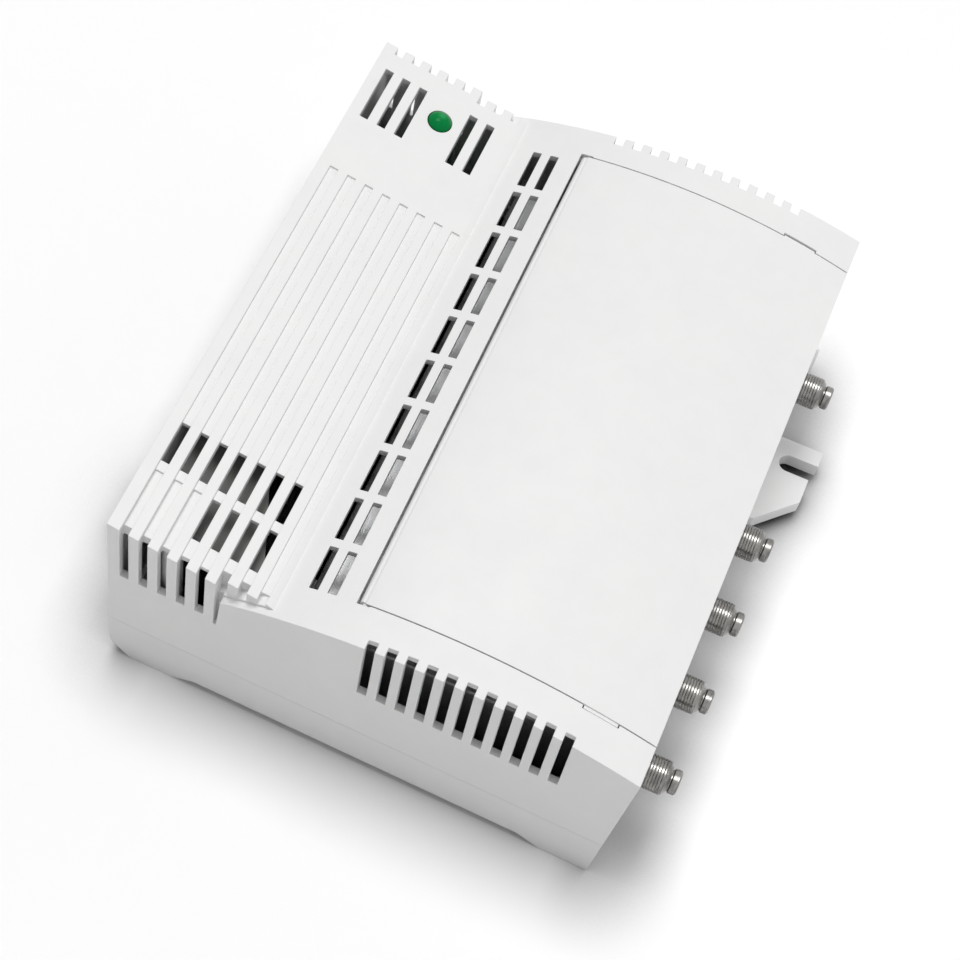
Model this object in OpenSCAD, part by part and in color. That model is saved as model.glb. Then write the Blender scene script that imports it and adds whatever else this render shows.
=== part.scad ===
// Indoor television signal amplifier: a vented case with a mains section under a ribbed block,
// a screened signal section behind five F-type connectors, and a hinged lid over the gain controls.
// Millimetres. In the case frame X runs from the left wall, Y from the near end, Z from the underside.

/* [Case] */
// Width of the case at its right top edge
case_w = 146; // [140:1:165]
// Depth of the case along its left wall
case_d = 175.6; // [172:0.2:200]
// Angle by which each end wall opens towards the connector side
flare = 1.72; // [0:0.02:2.5]
// Thickness of the moulded walls
wall = 2.2; // [1.8:0.1:2.8]
// Height of the parting line above the underside
part_h = 16; // [14:0.5:19]
// Lean of the connector wall, outwards from base to top
lean = 3.3; // [0:0.1:4.5]
// Radius of the lower left edge of the base
edge_r = 4.5; // [2:0.5:6]
// Thickness of the base floor
floor_t = 2.4; // [2:0.1:3]
// Height of the locating lip above the parting line
lip_h = 2.4; // [1.5:0.1:3]
// Thickness of the locating lip
lip_t = 1.2; // [0.8:0.1:1.4]
// Height of the moulded feet
foot_h = 3.1; // [2:0.1:5]
// Length of a foot along the end wall
foot_l = 14; // [8:0.5:18]
// Width of a foot across the end wall
foot_w = 12; // [8:0.5:16]
// Length of the slope at the inner end of each foot
foot_run = 7; // [3:0.5:10]

/* [Arched top] */
// Radius of the arched top
arch_r = 170; // [165:1:200]
// Distance of the crest from the left wall
crest_x = 96; // [92:1:100]
// Height of the crest above the underside
crest_h = 65; // [64:0.5:72]

/* [Ribbed block] */
// Width of the block's sloping top
block_w = 44; // [43.5:0.1:46]
// Height of the block at the left wall
block_h = 66.6; // [66:0.2:72]
// Slope of the block's top, down towards the arch
block_slope = 10.5; // [8:0.1:11]
// Run of the short face from the block down to the arch
block_foot = 1.8; // [1:0.1:3]
// Number of grooves in the part of the block that is flush with the end walls
flush_n = 5; // [4:1:6]
// Set-back of the rest of the block from the end walls
block_recess = 2; // [1:0.1:3]
// Number of grooves along the block
groove_n = 8; // [6:1:8]
// Distance between grooves, and between end-wall slots
groove_pitch = 5.33; // [5:0.01:5.4]
// Distance of the first groove from the left wall
groove_first = 4.74; // [4:0.02:5]
// Width of a groove and of the slots in it
groove_w = 2.45; // [1.8:0.05:3]
// Depth of a groove
groove_depth = 0.7; // [0.5:0.1:1.4]
// Distance from the far end at which the grooves stop
groove_back = 47.6; // [40:0.2:60]
// Distance of the first row of block slots from the near end
row_a_start = 23.1; // [22.5:0.1:30]
// Distance of the second row of block slots from the near end
row_b_start = 7.7; // [6:0.1:8]
// Length of the slots in those two rows
row_slot_l = 12.4; // [9:0.1:13]
// Distance of the far row of block slots from the far end
row_c_back = 8.7; // [8:0.1:12]
// Length of the slots in the far row
row_c_slot_l = 19; // [15:0.1:24]
// Height at which the slots in the block's end walls stop
block_slot_foot = 42; // [38:0.5:46]
// Depth of every end-wall slot from the wall's outer face
slot_depth = 2.8; // [2.6:0.1:3.2]
// Height of the underside of the beam that closes the heads of those slots
slot_head = 60; // [58:0.5:61]
// Height above the arch at which the slots of the set-back part start
slot_sill = 0.8; // [0.6:0.1:1.2]
// Width of the foot of the pocket beside the flush part
pocket_foot = 0.8; // [0.6:0.1:1.2]

/* [Indicator] */
// Distance of the indicator from the left wall
led_x = 23.7; // [22:0.1:25]
// Distance of the indicator from the far end
led_back = 16.1; // [14.5:0.1:18]
// Radius of the indicator lens
led_r = 3.4; // [2.5:0.1:3.6]
// Height of the lens dome above the block
led_dome = 1.9; // [1:0.1:2.5]
// Thickness of the lens flange under the block
led_flange = 1.2; // [0.8:0.1:2]

/* [Vent strip] */
// Distance of the left column of vents from the left wall
vent_x = 52.2; // [51:0.1:53]
// Distance between the two columns
vent_column = 5; // [4.5:0.1:6]
// Number of vents in a column
vent_n = 10; // [8:1:10]
// Width of the bars between the vents
vent_bar = 2.62; // [2:0.02:4]
// Width of a vent
vent_w = 2.4; // [2:0.1:3]
// Distance of the first vent from the near end
vent_first = 9.6; // [8:0.1:11]
// Distance of the last vent from the far end
vent_last = 10.9; // [8:0.1:12]

/* [End wall slots] */
// Number of slots in each end wall under the arch
slot_n = 11; // [8:1:11]
// Width of an end-wall slot
slot_w = 2.7; // [2:0.1:3]
// Distance of the first slot from the left wall
slot_first = 72.3; // [70:0.1:74]
// Height at which the slots stop
slot_foot = 38.4; // [34:0.2:42]

/* [Lid] */
// Thickness of the lid
lid_t = 2; // [1.6:0.1:2.4]
// Thickness of the lid's ends, where they lie on the rails
lid_edge_t = 1; // [0.8:0.1:1.2]
// Distance of the lid's near end from the near wall
lid_near = 11.9; // [10:0.1:13]
// Distance of the lid's far end, square to the hinge, from the far wall's left corner
lid_far = 8; // [7:0.1:10]
// Gap round the lid's ends
lid_gap = 0.3; // [0.3:0.05:0.6]
// Clearance under the closed lid
lid_seat = 0.3; // [0.25:0.05:0.5]
// Distance of the hinge axis from the left wall
hinge_x = 66.1; // [65:0.1:68]
// Radius of the barrel along the hinge edge
barrel_r = 1.6; // [1.4:0.1:1.8]
// Gap between the barrel and the cover
hinge_gap = 0.6; // [0.5:0.1:0.8]
// Depth of the valley between the barrel and the flat of the lid
valley_d = 0.35; // [0.2:0.05:0.5]
// Width of that valley
valley_w = 1; // [0.8:0.1:1.4]
// Distance of its middle to the left of the hinge axis
valley_off = 0.4; // [0:0.1:0.6]
// Radius of the hinge pins
pin_r = 0.8; // [0.6:0.05:1]
// Length of each hinge pin
pin_l = 2.2; // [1.5:0.1:2.4]
// Thickness of the cover lug round each hinge pin
lug_t = 3; // [2.8:0.1:4]
// Width of the rails that the lid rests on
rail_w = 2.5; // [1.5:0.1:3.5]
// Distance of the lid's finger tabs from the right top edge
tab_back = 10.7; // [8:0.1:16]
// Length of the finger tabs
tab_l = 9.6; // [6:0.1:12]
// Reach of the finger tabs beyond the lid's ends
tab_d = 0.9; // [0.6:0.1:1.6]
// Depth of the finger tabs below the lid's top
tab_drop = 0.5; // [0.3:0.1:0.8]

/* [Connectors] */
// Number of connectors in the close row
conn_row = 4; // [2:1:4]
// Distance of the first connector from the near end
conn_first = 14; // [13:0.2:16]
// Distance between connectors in the close row
conn_pitch = 25.2; // [24:0.1:26]
// Distance of the output connector from the far end
conn_back = 30.7; // [30:0.1:36]
// Height of the connector axes above the underside
conn_z = 30; // [28:0.5:32]
// Radius over the connector thread
thread_r = 4.763; // [4.763:0.001:4.8]
// Depth to which the stem inside the case is turned down below the thread
thread_relief = 0.5; // [0.4:0.05:0.7]
// Length of thread outside the case wall
thread_out = 7.6; // [6:0.1:10]
// Length of the taper at the end of the thread
taper_l = 1.2; // [0.8:0.1:1.6]
// Radius of the groove behind the end ring
neck_r = 2.9; // [2.7:0.1:3]
// Length of that groove
neck_l = 0.4; // [0.3:0.1:0.8]
// Radius of the end ring
ring_r = 3.42; // [3.2:0.02:3.8]
// Length of the end ring
ring_l = 2; // [1.5:0.1:3]
// Width across the flats of the connector hexagons
hex_af = 11; // [10.5:0.1:11.4]
// Thickness of the connector nut and of the inner hexagon
nut_t = 2.6; // [2:0.1:2.8]
// Length of the connector's inner barrel
inner_l = 5; // [3:0.5:7]
// Radius of the insulator
insul_r = 2.2; // [2:0.05:2.3]
// Radius of the centre contact
contact_r = 1.2; // [1:0.05:1.4]
// Radius of the hole for the plug's centre wire
wire_r = 0.55; // [0.4:0.05:0.7]
// Radius of the contact's solder tail
tail_r = 0.5; // [0.4:0.05:0.6]
// Length of the contact's solder tail
tail_l = 4; // [3:0.5:6]

/* [Ears and cord gland] */
// Distance of the right ear's slot from the far end
ear_back = 39.6; // [36:0.2:44]
// Thickness of an ear
ear_t = 5; // [3:0.5:6]
// Reach of the right ear from the connector wall
ear_reach = 17.74; // [16:0.02:20]
// Reach of the left ear from the left wall
ear_reach_left = 15; // [14:0.2:16]
// Width of an ear's open slot
ear_slot = 5.6; // [5:0.1:6.5]
// Depth of an ear's open slot, to the middle of its round end
ear_slot_depth = 8.4; // [7:0.1:9.5]
// Width of an ear's plain side, beside the slot
ear_side = 5.2; // [4:0.1:6]
// Width of an ear's other side, beside the slot
ear_prong = 8.4; // [6:0.1:9]
// Amount by which that side falls short of the plain one
ear_short = 1.2; // [0:0.1:2]
// Distance from the slot to the foot of the ear's slanting edge
ear_flank = 19.6; // [16:0.1:22]
// Corner taken off the end of the slanting edge
ear_corner = 2.1; // [1:0.1:3]
// Distance of the gland from the far end
gland_back = 4.6; // [4.2:0.1:6]
// Radius of the cord bore through the gland
gland_bore = 3.4; // [2.5:0.1:3.6]
// Radius of the gland's neck in the wall
gland_neck = 4.4; // [4:0.1:4.6]
// Radius of the gland's flanges
gland_r = 5.4; // [5:0.1:5.4]
// Length of the gland outside the wall
gland_out = 4.6; // [3:0.1:6]

/* [Screws] */
// Radius of the case screws
screw_r = 1.5; // [1.2:0.1:1.6]
// Radius of the screw heads
head_r = 2.7; // [2.4:0.1:2.8]
// Thickness of the screw heads
head_t = 1.8; // [1.4:0.1:2.2]
// Length of the case screw shanks
case_screw_l = 14; // [10:0.5:18]
// Wall of plastic round a screw hole or head
boss_wall = 1; // [0.8:0.1:1.1]
// Thickness of base plastic between a case screw's head and the cover
head_seat = 6; // [4:0.5:7]
// Length of the screws that hold boards and the screening box
board_screw_l = 3.4; // [2.4:0.1:3.5]

/* [Screening box] */
// Thickness of the box's sheet metal
sheet_t = 1; // [0.6:0.1:1]
// Height of the posts under the box
box_post = 3.6; // [3:0.1:4.5]
// Height of the box's top rim above the underside
box_top = 45; // [43:0.5:46]
// Distance of the box's far wall from the far end
box_back = 15.7; // [15:0.1:18]
// Thickness of the box's lid
shield_t = 0.8; // [0.5:0.1:1.2]
// Thickness of every circuit board
board_t = 1.6; // [1:0.1:2]
// Thickness of the screening walls between the channels
divider_t = 0.6; // [0.4:0.1:1]
// Width of the support tabs under the signal board
tab_w = 3; // [2:0.5:4]

/* [Controls] */
// Distance of the gain controls from the connector wall
pot_back = 33; // [30:0.5:36]
// Side of a gain trimmer's body
pot_w = 10; // [8:0.5:11]
// Height of a gain trimmer's body
pot_h = 8; // [6:0.5:10]
// Radius of the gain shafts
shaft_r = 2; // [1.5:0.1:2.4]
// Radius of a trimmer's bushing
bush_r = 3.2; // [3:0.1:3.6]
// Radius of a gain knob
knob_r = 5.6; // [4.5:0.1:6.5]
// Height of a gain knob
knob_h = 7; // [5:0.5:8]
// Number of flutes round a gain knob
flute_n = 12; // [8:1:16]
// Travel of the supply switch
switch_travel = 3; // [2:0.5:4]
// Length of the supply switch's body
switch_l = 12; // [11:0.5:14]
// Width of the supply switch's body
switch_w = 7; // [6:0.5:8]
// Width of the supply switch's slider
slider_w = 3; // [2:0.1:4]
// Height of the slider above the box's lid
slider_h = 4; // [3:0.5:5]

/* [Mains section] */
// Height of the posts under the mains board
psu_post = 4.2; // [4:0.1:5]
// Distance of the mains board from the left wall's inner face
psu_edge = 2.4; // [1.9:0.1:3]
// Width of the mains board
psu_w = 42; // [42:0.5:44]
// Stack thickness of the transformer core
core_stack = 18; // [15:0.5:19]
// Length of the transformer core
core_l = 46; // [44:0.5:48]
// Height of the transformer core
core_h = 43; // [40:0.5:44]
// Width of the core's middle leg
core_leg = 14; // [12:0.5:15]
// Width of the core's outer legs
core_side = 7; // [6:0.5:8]
// Thickness of the winding on the bobbin
winding_t = 4.4; // [3:0.1:4.6]
// Wall of the bobbin
bobbin_t = 1; // [0.8:0.1:1.2]
// Radius of the reservoir capacitors
cap_r = 7.5; // [6:0.5:8]
// Height of the reservoir capacitors
cap_h = 30; // [25:1:32]
// Radius of the fuse
fuse_r = 2.6; // [2.4:0.1:3]
// Length of the fuse
fuse_l = 20; // [18:0.5:22]
// Thickness of the barrier between the sections
barrier_t = 1.2; // [0.8:0.1:1.6]

/* [Fits] */
// Clearance between pieces that only sit beside each other
fit_gap = 0.25; // [0.2:0.05:0.35]
// Radial clearance of turning pins and shafts
run_gap = 0.05; // [0.03:0.01:0.08]

/* [Hidden] */
$fn = 64;
arch_fn = 360;
hex = 6;
// Spare length that lets a cut pass clear through what it cuts
over = 1;
// Shallow overlap that joins one moulded form to the next
weld = 0.2;

conn_n = conn_row + 1;
pot_n = conn_row;
divider_n = conn_row;
indexes = ["_1", "_2", "_3", "_4", "_5"];

// Colours of the pieces
white_plastic = "#f1f1ef";
nickel = "#b9b8b2";
tinplate = "#a9abad";
board_green = "#2f6b45";
black_plastic = "#222222";

// Outline of the case
function near_y(x) = -x * tan(flare);
function far_y(x) = case_d + x * tan(flare);
function arch_z(x, inset = 0) = crest_h - arch_r + sqrt(pow(arch_r - inset, 2) - pow(x - crest_x, 2));
function right_x(z) = case_w - (arch_z(case_w) - z) * tan(lean);
function block_z(x) = block_h - x * tan(block_slope);
function groove_x(i) = groove_first + i * groove_pitch;
block_flush = groove_x(flush_n) - groove_w / 2;
groove_end = case_d - groove_back;
row_a = [row_a_start, row_a_start + row_slot_l];
row_b = [row_b_start, row_b_start + row_slot_l];
row_c = [case_d - row_c_back - row_c_slot_l, case_d - row_c_back];
led_y = case_d - led_back;
vent_pitch = (case_d - vent_first - vent_last + vent_bar) / vent_n;
vent_l = vent_pitch - vent_bar;
tab_x = case_w - tab_back - tab_l;
ear_y = case_d - ear_back;
gland_y = case_d - gland_back;
y_lo = near_y(case_w) - over;
y_hi = far_y(case_w) + over;
top_z = block_h + over;

// Screws, bosses and where the cover's bosses meet those of the base
head_hole = head_r + fit_gap;
base_boss_r = head_hole + boss_wall;
cover_boss_r = screw_r + fit_gap + boss_wall;
boss_split = part_h + lip_h + fit_gap;
boss_inset = wall + fit_gap + base_boss_r;
boss_left_x = groove_x(2);
boss_back_x = groove_x(0.8);
boss_right_back = 12;
boss_right_x = case_w - boss_right_back;
boss_far_x = slot_first + (slot_n - 2.5) * groove_pitch;
bosses = [
    [boss_left_x, near_y(boss_left_x) + boss_inset],
    [boss_back_x, far_y(boss_back_x) - boss_inset],
    [boss_right_x, near_y(boss_right_x) + boss_inset],
    [boss_far_x, far_y(boss_far_x) - boss_inset]
];

// Hinge and lid
hinge_z = arch_z(hinge_x) - barrel_r;
open_x = hinge_x - barrel_r - hinge_gap;
lid_far_y = case_d - lid_far;
hinge_near = near_y(hinge_x) + lid_near;
hinge_far = lid_far_y;
lug_gap = 2 * lid_gap;
seat_inset = lid_t + lid_seat;
edge_seat = lid_edge_t + lid_seat;
rail_t = 2;

// Connectors and screening box
conn_y = concat(
    [for (i = [0:conn_row - 1]) conn_first + i * conn_pitch],
    [case_d - conn_back]
);
wall_x = right_x(conn_z);
box_x1 = wall_x - wall - nut_t - 2 * fit_gap;
box_x0 = vent_x + vent_w / 2 + fit_gap;
box_y0 = conn_first - hex_af / 2 - sheet_t - 2 * fit_gap;
box_y1 = case_d - box_back;
box_z0 = floor_t + box_post;
conn_hole = thread_r + 2 * fit_gap;
conn_seat = box_x1 - sheet_t;
conn_inner = conn_seat - nut_t - inner_l;
stem_r = thread_r - thread_relief;
nut_hole = stem_r + run_gap;
conn_thread = right_x(conn_z + hex_af) + fit_gap;
conn_thread_end = wall_x + thread_out;
conn_taper_end = conn_thread_end + taper_l;
conn_ring = conn_taper_end + neck_l;
conn_tip = conn_ring + ring_l;
tail_x = conn_inner - tail_l;
rf_board_top = conn_z - tail_r - fit_gap / 2;
rf_board_z = rf_board_top - board_t;
shield_top = box_top + shield_t;
pot_x = box_x1 - pot_back + nut_t;
switch_y = (conn_y[conn_row - 1] + conn_y[conn_row]) / 2;
switch_top = shield_top - 2 * shield_t;
box_post_edge = 8;
box_post_back = 18;
chassis_posts = [
    for (
        x = [box_x0 + box_post_edge, box_x1 - box_post_back],
        y = [box_y0 + box_post_edge, box_y1 - box_post_edge]
    ) [x, y]
];

// Cord gland, midway between the floor and the lip
gland_z = (floor_t + part_h - lip_h) / 2;

// Mains board
psu_x0 = wall + psu_edge;
psu_x1 = psu_x0 + psu_w;
psu_y0 = bosses[0][1] + base_boss_r + 2 * fit_gap;
psu_y1 = bosses[1][1] - base_boss_r - 2 * fit_gap;
psu_z0 = floor_t + psu_post;
psu_top = psu_z0 + board_t;
psu_post_inset = 4;
psu_posts = [
    for (
        x = [psu_x0 + psu_post_inset, psu_x1 - psu_post_inset],
        y = [psu_y0 + psu_post_inset, psu_y1 - psu_post_inset]
    ) [x, y]
];

// Transformer
core_middle = 14;
core_start = 8.5;
core_x = psu_x0 + core_middle;
core_y0 = psu_y0 + core_start;
core_yoke = core_side;
window_l = (core_l - core_leg - 2 * core_side) / 2;
window_h = core_h - 2 * core_yoke;
core_z = psu_top;
leg_y = core_y0 + core_l / 2;
bobbin_in_x = core_stack / 2 + fit_gap;
bobbin_in_y = core_leg / 2 + fit_gap;
bobbin_out_x = bobbin_in_x + bobbin_t;
bobbin_out_y = bobbin_in_y + bobbin_t;

// Places of the smaller mains pieces along the board
part_space = 2;
lane_back = 11;
core_end = core_y0 + core_l;
cap_x = psu_x0 + cap_r + part_space;
cap_y = core_end + cap_r + part_space;
cap_step = 2 * cap_r + part_space;
lane_x = psu_x1 - lane_back;
fuse_z = psu_top + fuse_r + part_space;
fuse_end = cap_y + fuse_l / 2;
rectifier = [5, 16, 14];
rectifier_y = fuse_end + part_space;
jumper_w = 5;
jumper_up = 5;
jumper_y = rectifier_y + rectifier[1] / 2;
jumper_z = psu_top + jumper_up;
feed_r = 2;
feed_out = 1.2;
regulator_d = 4.4;
regulator_tab = [10, 1.3, 15];
regulator_body_h = 9;
regulator_leg_h = 6;
film_capacitor = [8, 18, 14];
choke_ring = 7;
choke_section = 3;
choke_x = lane_x + choke_section;
sink_size = [26, 11, 32];
sink_x = psu_x0 + part_space;
sink_y = cap_y + cap_step + cap_r + part_space / 2 + regulator_d;
line_y = sink_y + sink_size[1] + part_space;
terminal = [16, 9, 11];
amp_flange = [pot_x + pot_w / 2 - box_x0 - sheet_t - 3 * part_space, 12, 2.4];
amp_h = 14;
terminal_x = choke_x - choke_section - part_space - terminal[0];
terminal_y = led_y - terminal[1] - 3 * part_space;
led_z = block_z(led_x);
led_foot = wall + led_flange;

// Origin under the middle of everything
x_mid = (right_x(ear_t) + ear_reach - ear_reach_left) / 2;
y_mid = case_d / 2;

module place() {
    translate([-x_mid, -y_mid, foot_h]) children();
}

// An outline drawn in X and Z, drawn out along Y
module along_y(y0, y1) {
    translate([0, y1, 0]) rotate([90, 0, 0]) linear_extrude(y1 - y0) children();
}

// A round bar along X
module bar_x(r, x0, x1, y, z, sides = $fn) {
    translate([x0, y, z]) rotate([0, 90, 0]) cylinder(r = r, h = x1 - x0, $fn = sides);
}

// A box between two corners
module block_between(low, high) {
    translate(low) cube(high - low);
}

// Repeats a form at the near end and, turned over, at the far end
module both_ends() {
    children();
    translate([0, case_d, 0]) mirror([0, 1, 0]) children();
}

// Plan of the case, drawn in by an inset
module plan(inset, z0, z1) {
    x_hi = case_w + over;
    translate([0, 0, z0]) linear_extrude(z1 - z0) polygon([
        [inset, near_y(inset) + inset],
        [x_hi, near_y(x_hi) + inset],
        [x_hi, far_y(x_hi) - inset],
        [inset, far_y(inset) - inset]
    ]);
}

// Everything left of the leaning connector wall
module left_of_wall(inset, z0, z1) {
    along_y(y_lo, y_hi) polygon([
        [0, z0],
        [right_x(z0) - inset, z0],
        [right_x(z1) - inset, z1],
        [0, z1]
    ]);
}

module arch(inset) {
    translate([crest_x, y_hi, crest_h - arch_r]) rotate([90, 0, 0])
        cylinder(r = arch_r - inset, h = y_hi - y_lo, $fn = arch_fn);
}

module arched_body(inset, z0) {
    intersection() {
        plan(inset, z0, crest_h);
        left_of_wall(inset, z0, crest_h);
        arch(inset);
    }
}

module ribbed_block(inset, z0) {
    drop = inset / cos(block_slope);
    side_x = block_w - inset;
    foot_x = block_w + block_foot;
    intersection() {
        along_y(y_lo, y_hi) polygon([
            [inset, z0],
            [inset, block_z(inset) - drop],
            [side_x, block_z(side_x) - drop],
            [foot_x - inset, arch_z(foot_x, inset) - weld],
            [foot_x - inset, z0]
        ]);
        union() {
            plan(block_recess + inset, z0, top_z);
            intersection() {
                plan(inset, z0, top_z);
                block_between([0, y_lo, z0], [block_flush - inset, y_hi, top_z]);
            }
        }
    }
}

module case_solid(inset, z0) {
    arched_body(inset, z0);
    ribbed_block(inset, z0);
}

// Cut along one groove of the block, to a depth below its top
module groove_cut(i, depth, y0, y1) {
    x0 = groove_x(i) - groove_w / 2;
    x1 = groove_x(i) + groove_w / 2;
    along_y(y0, y1) polygon([
        [x0, block_z(x0) - depth],
        [x1, block_z(x1) - depth],
        [x1, top_z],
        [x0, top_z]
    ]);
}

module block_cuts() {
    through = (wall + over) / cos(block_slope);
    blind = groove_depth + (wall - groove_depth) / 2;
    last = groove_n - 1;
    for (i = [0:last]) groove_cut(i, groove_depth, y_lo, groove_end);
    for (i = [0:last - 1]) groove_cut(i, through, row_a[0], row_a[1]);
    for (i = [3:last - 1]) groove_cut(i, through, row_b[0], row_b[1]);
    for (i = [0:2]) groove_cut(i, blind, y_lo, row_b[1]);
    for (i = [0, 1, 2, last - 2, last - 1]) groove_cut(i, through, row_c[0], row_c[1]);
    both_ends() {
        for (i = [0:last]) block_end_slot(i);
        ledge_pocket();
    }
}

// Tapering pocket in the end wall, beside the flush part of the block
module ledge_pocket() {
    x0 = block_flush;
    x1 = groove_x(flush_n) + groove_w / 2;
    x_top = x1 - pocket_foot;
    foot = block_slot_foot - groove_w;
    difference() {
        along_y(near_y(x0) - over, near_y(x0) + 2 * slot_depth) polygon([
            [x0, foot],
            [x0 + pocket_foot, foot],
            [x_top, arch_z(x1) + slot_sill],
            [x_top, top_z],
            [x0, top_z]
        ]);
        plan(slot_depth, part_h, top_z + over);
    }
}

// Slot down the block's end wall: to the slot foot where the block is flush, else to a sill on the arch
module block_end_slot(i) {
    x = groove_x(i);
    flush = i < flush_n;
    depth = slot_depth + (flush ? 0 : block_recess);
    difference() {
        block_between(
            [x - groove_w / 2, near_y(x) - over, block_slot_foot],
            [x + groove_w / 2, near_y(x) + depth, top_z]
        );
        if (!flush) arch(-slot_sill);
    }
}

// Inner thickening at the block's ends: a beam over the flush slots, a wall behind the others
module slot_backs() {
    beam_back = slot_depth + lip_t;
    wall_back = beam_back + block_recess;
    foot = block_slot_foot - 2 * groove_w;
    intersection() {
        union() {
            both_ends() block_between([wall - weld, y_lo, slot_head], [groove_x(4), beam_back, top_z]);
            difference() {
                block_between([block_flush - wall, y_lo, foot], [block_w, y_hi, top_z]);
                plan(wall_back, part_h, top_z + over);
            }
        }
        case_solid(wall / 2, part_h);
    }
}

module vent_cuts() {
    for (column = [0, 1], i = [0:vent_n - 1]) {
        x = vent_x + column * vent_column;
        y = vent_first + i * vent_pitch;
        block_between([x - vent_w / 2, y, arch_z(x) - 2 * wall], [x + vent_w / 2, y + vent_l, top_z]);
    }
}

module end_slot_cuts() {
    both_ends() for (i = [0:slot_n - 1]) {
        x = slot_first + i * groove_pitch;
        block_between(
            [x - slot_w / 2, near_y(x) - over, slot_foot],
            [x + slot_w / 2, near_y(x) + slot_depth, top_z]
        );
    }
}

// Stands a form on the block's sloping top at the indicator
module at_indicator() {
    translate([led_x, led_y, led_z]) rotate([0, block_slope, 0]) children();
}

// Open notches that let the connectors pass when the cover is lifted
module connector_notches() {
    x0 = box_x1;
    for (y = conn_y) {
        bar_x(conn_hole, x0, case_w + over, y, conn_z);
        block_between([x0, y - conn_hole, part_h - over], [case_w + over, y + conn_hole, conn_z]);
    }
}

// Tongues of the base that close those notches below the connectors
module connector_tongues() {
    half = conn_hole - fit_gap;
    z0 = part_h - wall;
    difference() {
        for (y = conn_y) along_y(y - half, y + half) polygon([
            [right_x(z0) - wall, z0],
            [right_x(z0), z0],
            [right_x(conn_z), conn_z],
            [right_x(conn_z) - wall, conn_z]
        ]);
        for (y = conn_y) bar_x(conn_hole, box_x1, case_w, y, conn_z);
    }
}

// Outline of the lid, drawn in by an inset: its near end follows the wall, its far end is square
module lid_plan(inset) {
    x_hi = case_w + over;
    translate([0, 0, part_h]) linear_extrude(top_z - part_h) polygon([
        [0, near_y(0) + lid_near + inset],
        [x_hi, near_y(x_hi) + lid_near + inset],
        [x_hi, lid_far_y - inset],
        [0, lid_far_y - inset]
    ]);
}

// Everything right of the hinge axis
module right_of_hinge() {
    block_between([hinge_x, y_lo, part_h], [case_w + over, y_hi, top_z]);
}

// Room for the lid: its ends' thickness on the rails, and the whole sheet between the rails
module lid_recess() {
    intersection() {
        lid_plan(-lid_gap);
        right_of_hinge();
        arch_layer(-over, edge_seat);
    }
    intersection() {
        union() {
            intersection() {
                lid_plan(rail_w);
                right_of_hinge();
            }
            tab_band(tab_d + lid_gap, lid_gap);
        }
        arch_layer(-over, seat_inset);
    }
    intersection() {
        lid_plan(rail_w);
        left_of_wall(wall, part_h, top_z);
        block_between([open_x, y_lo, hinge_z - 2 * wall], [case_w, y_hi, top_z]);
    }
    along_y(hinge_near - lug_gap, hinge_far + lug_gap) {
        translate([hinge_x, hinge_z]) circle(r = barrel_r + hinge_gap);
        translate([open_x, hinge_z]) square([hinge_x - open_x, top_z - hinge_z]);
    }
    along_y(hinge_near - pin_l - lid_gap, hinge_far + pin_l + lid_gap)
        translate([hinge_x, hinge_z]) circle(r = pin_r + run_gap);
}

module hinge_lug(y0, y1) {
    block_between([hinge_x - lug_t, y0, hinge_z - lug_t], [hinge_x + lug_t, y1, top_z]);
}

// Rails under the lid's ends and lugs round its hinge pins
module lid_supports() {
    intersection() {
        difference() {
            lid_plan(-lid_gap - rail_w);
            lid_plan(rail_w);
        }
        arch_layer(wall - weld, seat_inset + rail_t);
        right_of_hinge();
        left_of_wall(wall / 2, part_h, top_z);
    }
    intersection() {
        union() {
            hinge_lug(hinge_near - lug_gap - lug_t, hinge_near);
            hinge_lug(hinge_far, hinge_far + lug_gap + lug_t);
        }
        arch(wall / 2);
    }
}

module cover_bosses() {
    intersection() {
        for (b = bosses) translate([b[0], b[1], boss_split]) cylinder(r = cover_boss_r, h = top_z);
        case_solid(wall / 2, part_h);
    }
}

module top_cover() {
    color(white_plastic) place() difference() {
        union() {
            difference() {
                case_solid(0, part_h);
                case_solid(wall, part_h - over);
            }
            cover_bosses();
            lid_supports();
            slot_backs();
        }
        lid_recess();
        block_cuts();
        vent_cuts();
        end_slot_cuts();
        connector_notches();
        at_indicator() cylinder(r = led_r + fit_gap, h = 4 * wall, center = true);
        for (b = bosses) translate([b[0], b[1], part_h])
            cylinder(r = screw_r + run_gap, h = boss_split - part_h + case_screw_l - head_seat + over);
    }
}

module base_outer(inset, z0, z1) {
    intersection() {
        plan(inset, z0, z1);
        left_of_wall(inset, z0, z1);
    }
}

// What is rounded away from the lower left edge
module left_edge() {
    along_y(y_lo, y_hi) difference() {
        translate([-over, -over]) square(edge_r + over);
        translate([edge_r, edge_r]) circle(r = edge_r);
    }
}

// Corner feet, flush with the end walls, each with a slope at its inner end
module feet() {
    bend = edge_r * (1 - cos(45)) + weld;
    left = edge_r + foot_l;
    right = right_x(0) - foot_l;
    intersection() {
        base_outer(0, -foot_h, floor_t);
        both_ends() along_y(y_lo, foot_w) {
            polygon([
                [bend, bend],
                [2 * bend + foot_h, -foot_h],
                [left, -foot_h],
                [left + foot_run, 0],
                [left + foot_run, weld],
                [edge_r, bend]
            ]);
            polygon([
                [right - foot_run, weld],
                [right - foot_run, 0],
                [right, -foot_h],
                [case_w, -foot_h],
                [case_w, weld]
            ]);
        }
    }
}

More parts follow.
